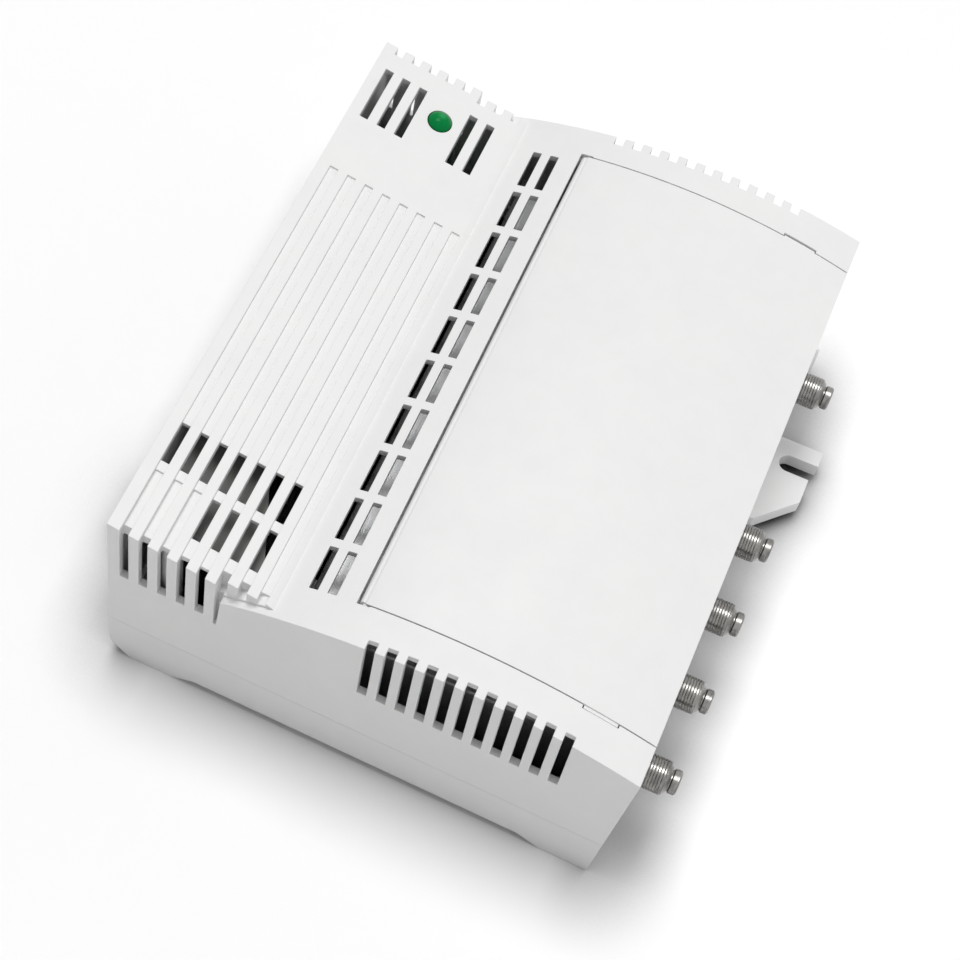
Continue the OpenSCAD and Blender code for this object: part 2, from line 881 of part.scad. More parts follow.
// An ear that reaches out along X from a wall at X = 0, with an open slot at its tip
module ear(reach) {
    root = edge_r + wall;
    half = ear_slot / 2;
    prong = reach - ear_short;
    linear_extrude(ear_t) difference() {
        polygon([
            [-root, half + ear_side],
            [reach, half + ear_side],
            [reach, 0],
            [prong, 0],
            [prong, -half - ear_prong],
            [prong - ear_corner, -half - ear_prong - ear_corner],
            [reach / 3, -half - ear_flank],
            [-root, -half - ear_flank - ear_corner]
        ]);
        translate([reach - ear_slot_depth, 0]) circle(d = ear_slot);
        translate([reach - ear_slot_depth, -half]) square([ear_slot_depth + over, ear_slot]);
    }
}

module locating_lip() {
    inner = wall + fit_gap + lip_t;
    difference() {
        union() {
            base_outer(wall - weld, part_h - lip_h, part_h);
            base_outer(wall + fit_gap, part_h - lip_h, part_h + lip_h);
        }
        base_outer(inner, part_h - lip_h - over, part_h + lip_h + over);
    }
}

module post(at, height, r) {
    translate([at[0], at[1], floor_t - weld]) cylinder(r = r, h = height + weld);
}

module base_tray() {
    post_r = screw_r + boss_wall + fit_gap;
    color(white_plastic) place() difference() {
        union() {
            difference() {
                union() {
                    difference() {
                        base_outer(0, 0, part_h);
                        left_edge();
                    }
                    translate([right_x(0), ear_y, 0]) ear(ear_reach + right_x(ear_t) - right_x(0));
                    translate([0, ear_back, 0]) rotate([0, 0, 180]) ear(ear_reach_left);
                }
                base_outer(wall, floor_t, part_h + over);
            }
            feet();
            locating_lip();
            connector_tongues();
            for (b = bosses) post(b, part_h + lip_h - floor_t, base_boss_r);
            for (p = chassis_posts) post(p, box_post, post_r);
            for (p = psu_posts) post(p, psu_post, post_r);
        }
        for (b = bosses) translate([b[0], b[1], -foot_h - over]) {
            cylinder(r = screw_r + fit_gap, h = top_z);
            cylinder(r = head_hole, h = foot_h + over + boss_split - head_seat);
        }
        for (p = concat(chassis_posts, psu_posts)) translate([p[0], p[1], floor_t])
            cylinder(r = screw_r + run_gap, h = top_z);
        bar_x(gland_neck + fit_gap / 2, box_x1, case_w, gland_y, gland_z);
    }
}

// The part of the arched top between two depths below it
module arch_layer(outer, inner) {
    difference() {
        arch(outer);
        arch(inner);
    }
}

// A stretch of the lid's ends where its finger tabs are, out to a reach beyond the lid
module tab_band(reach, side) {
    intersection() {
        lid_plan(-reach);
        block_between([tab_x - side, y_lo, part_h], [tab_x + tab_l + side, y_hi, top_z]);
    }
}

// The lid's sheet within an inset of its ends, to a thickness
module lid_sheet(inset, thickness) {
    intersection() {
        lid_plan(inset);
        left_of_wall(0, part_h, top_z);
        right_of_hinge();
        arch_layer(0, thickness);
    }
}

module access_lid() {
    valley_x = hinge_x - valley_off;
    color(white_plastic) place() difference() {
        union() {
            lid_sheet(0, lid_edge_t);
            lid_sheet(rail_w + lid_gap, lid_t);
            intersection() {
                tab_band(tab_d, 0);
                arch_layer(tab_drop, lid_t);
            }
            along_y(hinge_near + lid_gap, hinge_far - lid_gap) translate([hinge_x, hinge_z])
                circle(r = barrel_r);
            along_y(hinge_near - pin_l, hinge_far + pin_l) translate([hinge_x, hinge_z])
                circle(r = pin_r);
        }
        along_y(y_lo, y_hi) polygon([
            [valley_x - valley_w, arch_z(valley_x) + valley_d],
            [valley_x, arch_z(valley_x) - valley_d],
            [valley_x + valley_w, arch_z(valley_x) + valley_d]
        ]);
    }
}

// Pan-head screw with its head's seat at Z = 0 and its shank below
module screw(length) {
    translate([0, 0, -length]) cylinder(r = screw_r, h = length + weld);
    difference() {
        cylinder(r = head_r, h = head_t);
        translate([0, 0, head_t / 2]) cylinder(r = head_r / 2, h = head_t, $fn = hex);
    }
}

module cover_screws() {
    color(nickel) place() for (b = bosses)
        translate([b[0], b[1], boss_split - head_seat]) rotate([180, 0, 0]) screw(case_screw_l);
}

module cord_gland() {
    x_wall = right_x(gland_z + gland_r) + fit_gap / 2;
    x_in = right_x(gland_z - gland_r) - wall - fit_gap / 2;
    color(white_plastic) place() difference() {
        union() {
            bar_x(gland_neck, x_in - wall, x_wall + gland_out, gland_y, gland_z);
            bar_x(gland_r, x_wall, x_wall + gland_out - wall, gland_y, gland_z);
            bar_x(gland_r, x_in - wall, x_in, gland_y, gland_z);
        }
        bar_x(gland_bore, x_in - 2 * wall, x_wall + gland_out + over, gland_y, gland_z);
    }
}

module power_led() {
    dome_r = (led_r * led_r + led_dome * led_dome) / (2 * led_dome);
    color("#0a7d3c") place() at_indicator() {
        translate([0, 0, -led_foot]) cylinder(r = led_r, h = led_foot + weld);
        translate([0, 0, -led_foot]) cylinder(r = led_r + led_flange, h = led_flange);
        intersection() {
            translate([0, 0, led_dome - dome_r]) sphere(r = dome_r);
            cylinder(r = led_r, h = led_dome + over);
        }
    }
}

module led_board() {
    half_w = 5;
    top = led_z - led_foot * cos(block_slope) - (led_r + led_flange) * sin(block_slope) - fit_gap;
    color(board_green) place() block_between(
        [led_x - half_w, led_y - board_t / 2, psu_top],
        [led_x + half_w, led_y + board_t / 2, top]
    );
}

module psu_board() {
    color(board_green) place() difference() {
        block_between([psu_x0, psu_y0, psu_z0], [psu_x1, psu_y1, psu_top]);
        for (p = psu_posts) translate([p[0], p[1], psu_z0 - over])
            cylinder(r = screw_r + fit_gap, h = board_t + 2 * over);
    }
}

module psu_screws() {
    color(nickel) place() for (p = psu_posts)
        translate([p[0], p[1], psu_top]) screw(board_screw_l + board_t);
}

// Side view of the core, with a window on each side of its middle leg
module core_outline() {
    difference() {
        square([core_l, core_h]);
        for (y = [core_side, core_l - core_side - window_l])
            translate([y, core_yoke]) square([window_l, window_h]);
    }
}

module transformer_core() {
    color("#8d9093") place() translate([core_x - core_stack / 2, core_y0, core_z])
        rotate([90, 0, 90]) linear_extrude(core_stack) core_outline();
}

// A rectangular sleeve round the core's middle leg
module leg_sleeve(in_x, in_y, out_x, out_y, z0, z1) {
    difference() {
        block_between([core_x - out_x, leg_y - out_y, z0], [core_x + out_x, leg_y + out_y, z1]);
        block_between([core_x - in_x, leg_y - in_y, z0 - over], [core_x + in_x, leg_y + in_y, z1 + over]);
    }
}

module transformer_bobbin() {
    z0 = core_z + core_yoke;
    z1 = core_z + core_h - core_yoke - fit_gap;
    flange_x = bobbin_out_x + winding_t;
    flange_y = bobbin_in_y + window_l - 2 * fit_gap;
    color(black_plastic) place() {
        leg_sleeve(bobbin_in_x, bobbin_in_y, bobbin_out_x, bobbin_out_y, z0, z1);
        for (z = [z0, z1 - bobbin_t])
            leg_sleeve(bobbin_in_x, bobbin_in_y, flange_x, flange_y, z, z + bobbin_t);
    }
}

module transformer_winding() {
    z0 = core_z + core_yoke + bobbin_t;
    z1 = core_z + core_h - core_yoke - bobbin_t - fit_gap;
    out_y = bobbin_in_y + window_l - 3 * fit_gap;
    color("#77797b") place()
        leg_sleeve(bobbin_out_x, bobbin_out_y, bobbin_out_x + winding_t - fit_gap, out_y, z0, z1);
}

module fuse() {
    color("#c9cfd2") place() translate([lane_x, fuse_end, fuse_z]) rotate([90, 0, 0])
        cylinder(r = fuse_r, h = fuse_l);
}

module fuse_holder() {
    clip_l = 4;
    clip_t = 1.4;
    half_w = fuse_r + clip_t;
    fuse_start = fuse_end - fuse_l;
    color(black_plastic) place() difference() {
        union() {
            block_between(
                [lane_x - half_w, fuse_start, psu_top],
                [lane_x + half_w, fuse_end, psu_top + clip_t]
            );
            for (y = [fuse_start + over, fuse_end - clip_l - over]) block_between(
                [lane_x - half_w, y, psu_top],
                [lane_x + half_w, y + clip_l, fuse_z + fuse_r / 2]
            );
        }
        translate([lane_x, fuse_end + over, fuse_z]) rotate([90, 0, 0])
            cylinder(r = fuse_r + run_gap, h = fuse_l + 2 * over);
        block_between(
            [lane_x - fuse_r / 2, fuse_start - over, fuse_z],
            [lane_x + fuse_r / 2, fuse_end + over, fuse_z + 2 * fuse_r]
        );
    }
}

module mains_terminal() {
    entry_r = 2;
    entry_up = 4;
    color("#3b6ea5") place() translate([terminal_x, terminal_y, psu_top]) difference() {
        cube(terminal);
        for (x = [terminal[0] / 4, terminal[0] * 3 / 4]) {
            translate([x, terminal[1] + over, entry_up]) rotate([90, 0, 0])
                cylinder(r = entry_r, h = terminal[1]);
            translate([x, terminal[1] / 2, entry_up]) cylinder(r = entry_r + fit_gap, h = terminal[2]);
        }
    }
}

module line_choke() {
    reach = choke_ring + choke_section;
    color("#b06a2a") place() translate([choke_x, line_y + reach, psu_top + reach]) rotate([0, 90, 0])
        rotate_extrude() translate([choke_ring, 0]) circle(r = choke_section);
}

module suppression_capacitor() {
    color("#d9c23c") place() translate([sink_x + part_space, line_y, psu_top]) cube(film_capacitor);
}

module bridge_rectifier() {
    color(black_plastic) place()
        translate([lane_x - rectifier[0] / 2, rectifier_y, psu_top]) cube(rectifier);
}

module reservoir_capacitor(i) {
    groove = 0.5;
    groove_up = 3;
    y = cap_y + i * cap_step;
    color("#26364f") place() translate([cap_x, y, psu_top]) difference() {
        cylinder(r = cap_r, h = cap_h);
        translate([0, 0, groove_up]) rotate_extrude() translate([cap_r, 0]) circle(r = groove);
        for (a = [0, 90]) rotate([0, 0, a]) block_between(
            [-cap_r / 2, -groove / 2, cap_h - groove],
            [cap_r / 2, groove / 2, cap_h + over]
        );
    }
}

module heat_sink() {
    fins = 5;
    fin_t = 1.2;
    plate_t = 2;
    step = (sink_size[0] - fin_t) / (fins - 1);
    color("#50555a") place() translate([sink_x, sink_y, psu_top]) {
        cube([sink_size[0], plate_t, sink_size[2]]);
        for (i = [0:fins - 1]) translate([i * step, 0, 0]) cube([fin_t, sink_size[1], sink_size[2]]);
    }
}

module regulator() {
    leg_w = 0.8;
    leg_t = 0.6;
    leg_step = regulator_tab[0] / 4;
    hole_r = regulator_tab[0] / 6;
    middle = regulator_tab[0] / 2;
    middle_x = sink_x + sink_size[0] / 2;
    color(black_plastic) place() translate([middle_x, sink_y, psu_top + regulator_leg_h]) difference() {
        union() {
            translate([-middle, -regulator_tab[1], 0]) cube(regulator_tab);
            translate([-middle, -regulator_d, 0]) cube([2 * middle, regulator_d, regulator_body_h]);
            for (i = [-1:1]) translate([i * leg_step - leg_w / 2, -regulator_d / 2, -regulator_leg_h])
                cube([leg_w, leg_t, regulator_leg_h + weld]);
        }
        translate([0, over, (regulator_body_h + regulator_tab[2]) / 2]) rotate([90, 0, 0])
            cylinder(r = hole_r, h = regulator_tab[1] + 2 * over);
    }
}

// Insulating sheet between the two sections, with a flap that lies over the transformer
module section_barrier() {
    back = 2.45;
    x0 = box_x0 - barrier_t - back;
    slot_half = jumper_w / 2;
    flap_z = core_z + core_h + fit_gap;
    flap_top = flap_z + barrier_t;
    flap_y0 = psu_y0 + weld;
    flap_y1 = core_y0 + core_l / 2;
    flap_neck = psu_y0 + jumper_w;
    color("#989894") place() difference() {
        union() {
            translate([x0, 0, 0]) rotate([90, 0, 90]) linear_extrude(barrier_t) polygon([
                [psu_y0, floor_t],
                [psu_y1, floor_t],
                [psu_y1, box_top],
                [flap_neck, box_top],
                [flap_neck, flap_top + weld],
                [psu_y0, flap_top + weld]
            ]);
            translate([0, 0, flap_z]) linear_extrude(barrier_t) polygon([
                [psu_x0, flap_y0],
                [x0 + weld, flap_y0],
                [x0 + weld, flap_neck - weld],
                [groove_x(6), flap_neck - weld],
                [groove_x(4), flap_y1],
                [psu_x0, flap_y1]
            ]);
        }
        bar_x(slot_half, x0 - over, x0 + barrier_t + over, jumper_y, jumper_z);
    }
}

module rf_chassis() {
    color(tinplate) place() difference() {
        union() {
            difference() {
                block_between([box_x0, box_y0, box_z0], [box_x1, box_y1, box_top]);
                block_between(
                    [box_x0 + sheet_t, box_y0 + sheet_t, box_z0 + sheet_t],
                    [box_x1 - sheet_t, box_y1 - sheet_t, box_top + over]
                );
            }
            for (x = [box_x0 + pot_back / 2, pot_x - pot_back / 2]) both_box_ends() block_between(
                [x, box_y0 + sheet_t - weld, rf_board_z - sheet_t],
                [x + tab_w, box_y0 + sheet_t + tab_w, rf_board_z]
            );
        }
        for (y = conn_y) bar_x(nut_hole, box_x1 - 2 * sheet_t, box_x1 + over, y, conn_z);
        for (p = chassis_posts) translate([p[0], p[1], box_z0 - over])
            cylinder(r = screw_r + fit_gap, h = sheet_t + 2 * over);
        bar_x(feed_r + run_gap, box_x0 - over, box_x0 + 2 * sheet_t, jumper_y, jumper_z);
    }
}

// Repeats a form at both ends of the screening box
module both_box_ends() {
    children();
    translate([0, box_y0 + box_y1, 0]) mirror([0, 1, 0]) children();
}

module rf_shield_lid() {
    hole_r = shaft_r + 2 * fit_gap;
    half = slider_w / 2 + fit_gap;
    louvre = [18, 2.2, shield_t + 2 * over];
    louvre_step = 6;
    louvre_x = 24;
    color(tinplate) place() difference() {
        block_between([box_x0, box_y0, box_top], [box_x1, box_y1, shield_top]);
        for (i = [0:pot_n - 1]) translate([pot_x, conn_y[i], box_top - over])
            cylinder(r = hole_r, h = shield_t + 2 * over);
        block_between(
            [pot_x - half, switch_y - half, box_top - over],
            [pot_x + half, switch_y + half + switch_travel, shield_top + over]
        );
        for (i = [-2:2])
            translate([box_x0 + louvre_x, switch_y + i * louvre_step, box_top - over]) cube(louvre);
    }
}

module chassis_screws() {
    color(nickel) place() for (p = chassis_posts)
        translate([p[0], p[1], box_z0 + sheet_t]) screw(board_screw_l + sheet_t);
}

module rf_board() {
    edge = sheet_t + 2 * fit_gap;
    color(board_green) place() block_between(
        [box_x0 + edge, box_y0 + edge, rf_board_z],
        [conn_inner - fit_gap, box_y1 - edge, rf_board_top]
    );
}

module rf_divider(i) {
    last_gap = conn_y[conn_row] - conn_y[conn_row - 1];
    y = (conn_y[i] + conn_y[i + 1]) / 2 + (i == divider_n - 1 ? last_gap / 4 : 0);
    color(tinplate) place() block_between(
        [box_x0 + sheet_t + fit_gap, y - divider_t / 2, rf_board_top],
        [conn_inner - fit_gap, y + divider_t / 2, box_top - fit_gap]
    );
}

module amplifier_module() {
    body = [amp_flange[0] - 4 * part_space, amp_flange[1] - 2 * part_space, amp_h];
    hole_r = part_space / 2;
    x0 = pot_x + pot_w / 2 - amp_flange[0];
    y0 = conn_y[conn_n - 1] - amp_flange[1] / 2;
    color(black_plastic) place() translate([x0, y0, rf_board_top]) difference() {
        union() {
            cube(amp_flange);
            translate([2 * part_space, part_space, 0]) cube(body);
        }
        for (x = [part_space, amp_flange[0] - part_space]) translate([x, amp_flange[1] / 2, -over])
            cylinder(r = hole_r, h = amp_flange[2] + 2 * over);
    }
}

module feed_through() {
    inside = box_x0 + sheet_t;
    color("#c7a25a") place() {
        bar_x(feed_r, box_x0 - feed_out, inside + 2 * feed_out, jumper_y, jumper_z);
        bar_x(feed_r + over, inside, inside + feed_out, jumper_y, jumper_z);
    }
}

module supply_jumper() {
    half = jumper_w / 2;
    x = psu_x1 - jumper_w - over;
    color(black_plastic) place() {
        block_between([x, jumper_y - half, psu_top], [x + jumper_w, jumper_y + half, jumper_z + half]);
        bar_x(half / 2, x + jumper_w - weld, box_x0 - feed_out, jumper_y, jumper_z);
    }
}

// Depth to which the slider reaches into its switch
slider_sink = 6;

module dc_switch_body() {
    half = slider_w / 2 + fit_gap;
    y0 = switch_y - (switch_l - switch_travel) / 2;
    color(black_plastic) place() difference() {
        block_between(
            [pot_x - switch_w / 2, y0, rf_board_top],
            [pot_x + switch_w / 2, y0 + switch_l, switch_top - fit_gap]
        );
        block_between(
            [pot_x - half, switch_y - half, switch_top - slider_sink],
            [pot_x + half, switch_y + half + switch_travel, switch_top + over]
        );
    }
}

module dc_switch_slider() {
    color("#e9e9e6") place() block_between(
        [pot_x - slider_w / 2, switch_y - slider_w / 2, switch_top - slider_sink + fit_gap],
        [pot_x + slider_w / 2, switch_y + slider_w / 2, shield_top + slider_h]
    );
}

module gain_trimmer(i) {
    y = conn_y[i];
    color("#3a5f8a") place() difference() {
        union() {
            block_between(
                [pot_x - pot_w / 2, y - pot_w / 2, rf_board_top],
                [pot_x + pot_w / 2, y + pot_w / 2, rf_board_top + pot_h]
            );
            translate([pot_x, y, rf_board_top])
                cylinder(r = bush_r, h = box_top - rf_board_top - fit_gap);
        }
        translate([pot_x, y, rf_board_top + pot_h / 2]) cylinder(r = shaft_r + run_gap, h = top_z);
    }
}

// Fluted knob with a driver slot, in one piece with its shaft
module gain_knob(i) {
    z0 = rf_board_top + pot_h / 2 + fit_gap;
    knob_z = shield_top + 2 * fit_gap;
    knob_top = knob_z + knob_h;
    flute_r = 0.7;
    driver = [0.6 * knob_r, 0.6, 1.5];
    color("#e4e4e0") place() translate([pot_x, conn_y[i], 0]) difference() {
        union() {
            translate([0, 0, z0]) cylinder(r = shaft_r, h = knob_z - z0 + weld);
            translate([0, 0, knob_z]) cylinder(r = knob_r, h = knob_h);
        }
        for (a = [0:flute_n - 1]) rotate([0, 0, a * 360 / flute_n])
            translate([knob_r + flute_r / 3, 0, knob_z + over]) cylinder(r = flute_r, h = knob_h);
        block_between(
            [-driver[0], -driver[1], knob_top - driver[2]],
            [driver[0], driver[1], knob_top + over]
        );
    }
}

module hexagon_bar(x0, x1, y) {
    translate([x0, y, conn_z]) rotate([0, 90, 0])
        cylinder(d = hex_af / cos(180 / hex), h = x1 - x0, $fn = hex);
}

module f_connector(i) {
    y = conn_y[i];
    chamfer = 0.5;
    color(nickel) place() difference() {
        union() {
            bar_x(stem_r, conn_inner, conn_seat, y, conn_z);
            hexagon_bar(conn_seat - nut_t, conn_seat, y);
            bar_x(stem_r, conn_seat - weld, conn_thread + weld, y, conn_z);
            bar_x(thread_r, conn_thread, conn_thread_end, y, conn_z);
            translate([conn_thread_end, y, conn_z]) rotate([0, 90, 0])
                cylinder(r1 = thread_r, r2 = ring_r, h = taper_l);
            bar_x(neck_r, conn_taper_end - weld, conn_ring + weld, y, conn_z);
            translate([conn_ring, y, conn_z]) rotate([0, 90, 0]) {
                cylinder(r1 = ring_r - chamfer, r2 = ring_r, h = chamfer);
                translate([0, 0, chamfer]) cylinder(r = ring_r, h = ring_l - 2 * chamfer);
                translate([0, 0, ring_l - chamfer])
                    cylinder(r1 = ring_r, r2 = ring_r - chamfer, h = chamfer);
            }
        }
        bar_x(insul_r + run_gap, conn_inner - over, conn_tip + over, y, conn_z);
    }
}

// How far the insulator and the contact stop short of the connector's tip
insul_sink = 0.4;
contact_sink = 2;

module f_insulator(i) {
    color("#f4f3ee") place() difference() {
        bar_x(insul_r, conn_inner, conn_tip - insul_sink, conn_y[i], conn_z);
        bar_x(contact_r + run_gap, conn_inner - over, conn_tip - contact_sink, conn_y[i], conn_z);
        bar_x(wire_r, conn_ring, conn_tip + over, conn_y[i], conn_z);
    }
}

module f_contact(i) {
    color("#d8b96a") place() difference() {
        union() {
            bar_x(contact_r, conn_inner, conn_tip - contact_sink - fit_gap, conn_y[i], conn_z);
            bar_x(tail_r, tail_x, conn_inner + weld, conn_y[i], conn_z);
        }
        bar_x(wire_r, conn_seat, conn_tip, conn_y[i], conn_z);
    }
}

module connector_nuts() {
    color(nickel) place() difference() {
        for (y = conn_y) hexagon_bar(box_x1, box_x1 + nut_t, y);
        for (y = conn_y) bar_x(nut_hole, box_x1 - over, box_x1 + nut_t + over, y, conn_z);
    }
}

base_tray();
top_cover();
access_lid();
cover_screws();
cord_gland();
power_led();
led_board();
psu_board();
psu_screws();
transformer_core();
transformer_bobbin();
transformer_winding();
fuse();
fuse_holder();
mains_terminal();
line_choke();
suppression_capacitor();
bridge_rectifier();
reservoir_capacitor(0);  // reservoir_capacitor_1
reservoir_capacitor(1);  // reservoir_capacitor_2
regulator();
heat_sink();
section_barrier();
rf_chassis();
rf_shield_lid();
chassis_screws();
rf_board();
amplifier_module();
feed_through();
supply_jumper();
dc_switch_body();
dc_switch_slider();
connector_nuts();
for (i = [0:conn_row - 1]) {
    rf_divider(i);
    gain_trimmer(i);
    gain_knob(i);
}
for (i = [0:conn_n - 1]) {
    f_connector(i);
    f_insulator(i);
    f_contact(i);
}
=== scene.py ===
"""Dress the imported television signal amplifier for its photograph.

Every place and size is in the frame's own axes: X to the connector wall, Y to the
far end and Z up from the table. Sizes of forms are written in millimetres and scaled
to metres where they are used; those of a finish are in metres, as its shader takes them.
"""

import logging
import math
from dataclasses import dataclass
from enum import Enum
from typing import Callable, Sequence, Union

import bmesh
import bpy
from mathutils import Matrix, Vector


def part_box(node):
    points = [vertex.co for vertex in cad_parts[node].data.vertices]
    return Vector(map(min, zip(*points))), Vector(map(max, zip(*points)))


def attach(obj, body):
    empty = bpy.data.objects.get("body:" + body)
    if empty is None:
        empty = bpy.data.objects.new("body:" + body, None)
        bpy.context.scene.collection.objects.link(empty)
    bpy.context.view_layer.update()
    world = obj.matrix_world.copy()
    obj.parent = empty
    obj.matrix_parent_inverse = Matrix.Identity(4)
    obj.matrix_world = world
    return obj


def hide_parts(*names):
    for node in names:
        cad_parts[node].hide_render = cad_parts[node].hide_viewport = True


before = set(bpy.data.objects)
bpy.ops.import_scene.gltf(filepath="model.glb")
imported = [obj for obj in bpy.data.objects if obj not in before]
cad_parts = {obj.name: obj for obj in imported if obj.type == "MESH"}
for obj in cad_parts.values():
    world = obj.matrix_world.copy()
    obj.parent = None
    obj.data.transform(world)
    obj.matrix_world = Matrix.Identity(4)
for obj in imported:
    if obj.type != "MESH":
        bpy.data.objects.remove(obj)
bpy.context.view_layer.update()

LOG = logging.getLogger("amplifier")
MM = 0.001
TURN = 2.0 * math.pi

# Range of a mask
MASK = (0.0, 1.0)

# Widths of softened edges that several pieces share, in millimetres
EDGE_TINY = 0.06
EDGE_THIN = 0.1
EDGE_SHEET = 0.15
EDGE_PART = 0.2
EDGE_SOFT = 0.25

# Softened pieces: points joined within, in millimetres; faces joined within and edges rounded
# from an angle, in degrees; and the steps of the rounding
JOIN_WITHIN = 0.002
FLAT_WITHIN = 0.05
SHARP_FROM = 30.0
ROUND_STEPS = 2

# Turned forms: least radius at the axis, and distance at which points are joined, in millimetres
AXIS = 0.02
TURNED_WITHIN = 0.0005

Colour = tuple[float, float, float, float]
Triple = tuple[float, float, float]
Pair = tuple[float, float]
Radius = Union[float, Callable[[float], float]]
SocketValue = Union[float, Colour, Triple, bpy.types.NodeSocket]


class Effect(Enum):
    """Surface effects that several finishes share, one node group each."""

    GRAIN = "moulded_grain"
    # Edge mask, used for wear and for a painted highlight along edges
    EDGES = "edge_wear_highlight_mask"
    DUST = "settled_dust"
    BRUSH = "brushed_lines"
    BANDS = "stacked_bands"


class Body(Enum):
    """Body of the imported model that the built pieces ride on."""

    CASE = "case"


class Graph:
    """Writes nodes and links into one shader tree."""

    # Places of the colour sockets of a Mix node
    MIX_MASK, MIX_LOW, MIX_HIGH, MIX_RESULT = 0, 6, 7, 2

    def __init__(self, tree: bpy.types.NodeTree) -> None:
        """Keep the tree that the nodes go into."""
        self.tree = tree

    def node(self, kind: str, inputs: dict[Union[str, int], SocketValue] | None = None,
             **settings: object) -> bpy.types.Node:
        """Add one node.

        Args:
            kind: Blender's type name of the node.
            inputs: A value or another node's output for each named input.
            settings: Properties of the node itself.

        Returns:
            The new node.
        """
        made = self.tree.nodes.new(kind)
        for name, value in settings.items():
            setattr(made, name, value)
        for name, value in (inputs or {}).items():
            if isinstance(value, bpy.types.NodeSocket):
                self.tree.links.new(value, made.inputs[name])
            else:
                made.inputs[name].default_value = value
        return made

    def link(self, source: bpy.types.NodeSocket, target: bpy.types.NodeSocket) -> None:
        """Join an output to an input."""
        self.tree.links.new(source, target)

    def blend(self, mask: SocketValue, low: SocketValue, high: SocketValue
              ) -> bpy.types.NodeSocket:
        """Mix two colours by a mask.

        Args:
            mask: Share of the second colour, 0 to 1.
            low: Colour where the mask is 0.
            high: Colour where the mask is 1.

        Returns:
            The mixed colour's socket.
        """
        mixed = self.node("ShaderNodeMix", {
            self.MIX_MASK: mask, self.MIX_LOW: low, self.MIX_HIGH: high}, data_type="RGBA")
        return mixed.outputs[self.MIX_RESULT]

    def span(self, value: SocketValue, source: Pair, target: Pair = MASK
             ) -> bpy.types.NodeSocket:
        """Map a value from one range to another, clamped.

        Args:
            value: Socket to map.
            source: Lowest and highest value that come in.
            target: Values that they become, those of a mask unless given.

        Returns:
            The mapped value's socket.
        """
        made = self.node("ShaderNodeMapRange", {
            "Value": value,
            "From Min": source[0], "From Max": source[1],
            "To Min": target[0], "To Max": target[1],
        })
        return made.outputs[0]

    def math(self, operation: str, *values: SocketValue) -> bpy.types.NodeSocket:
        """Add one Math node and give its output."""
        made = self.node("ShaderNodeMath", dict(enumerate(values)), operation=operation)
        return made.outputs[0]


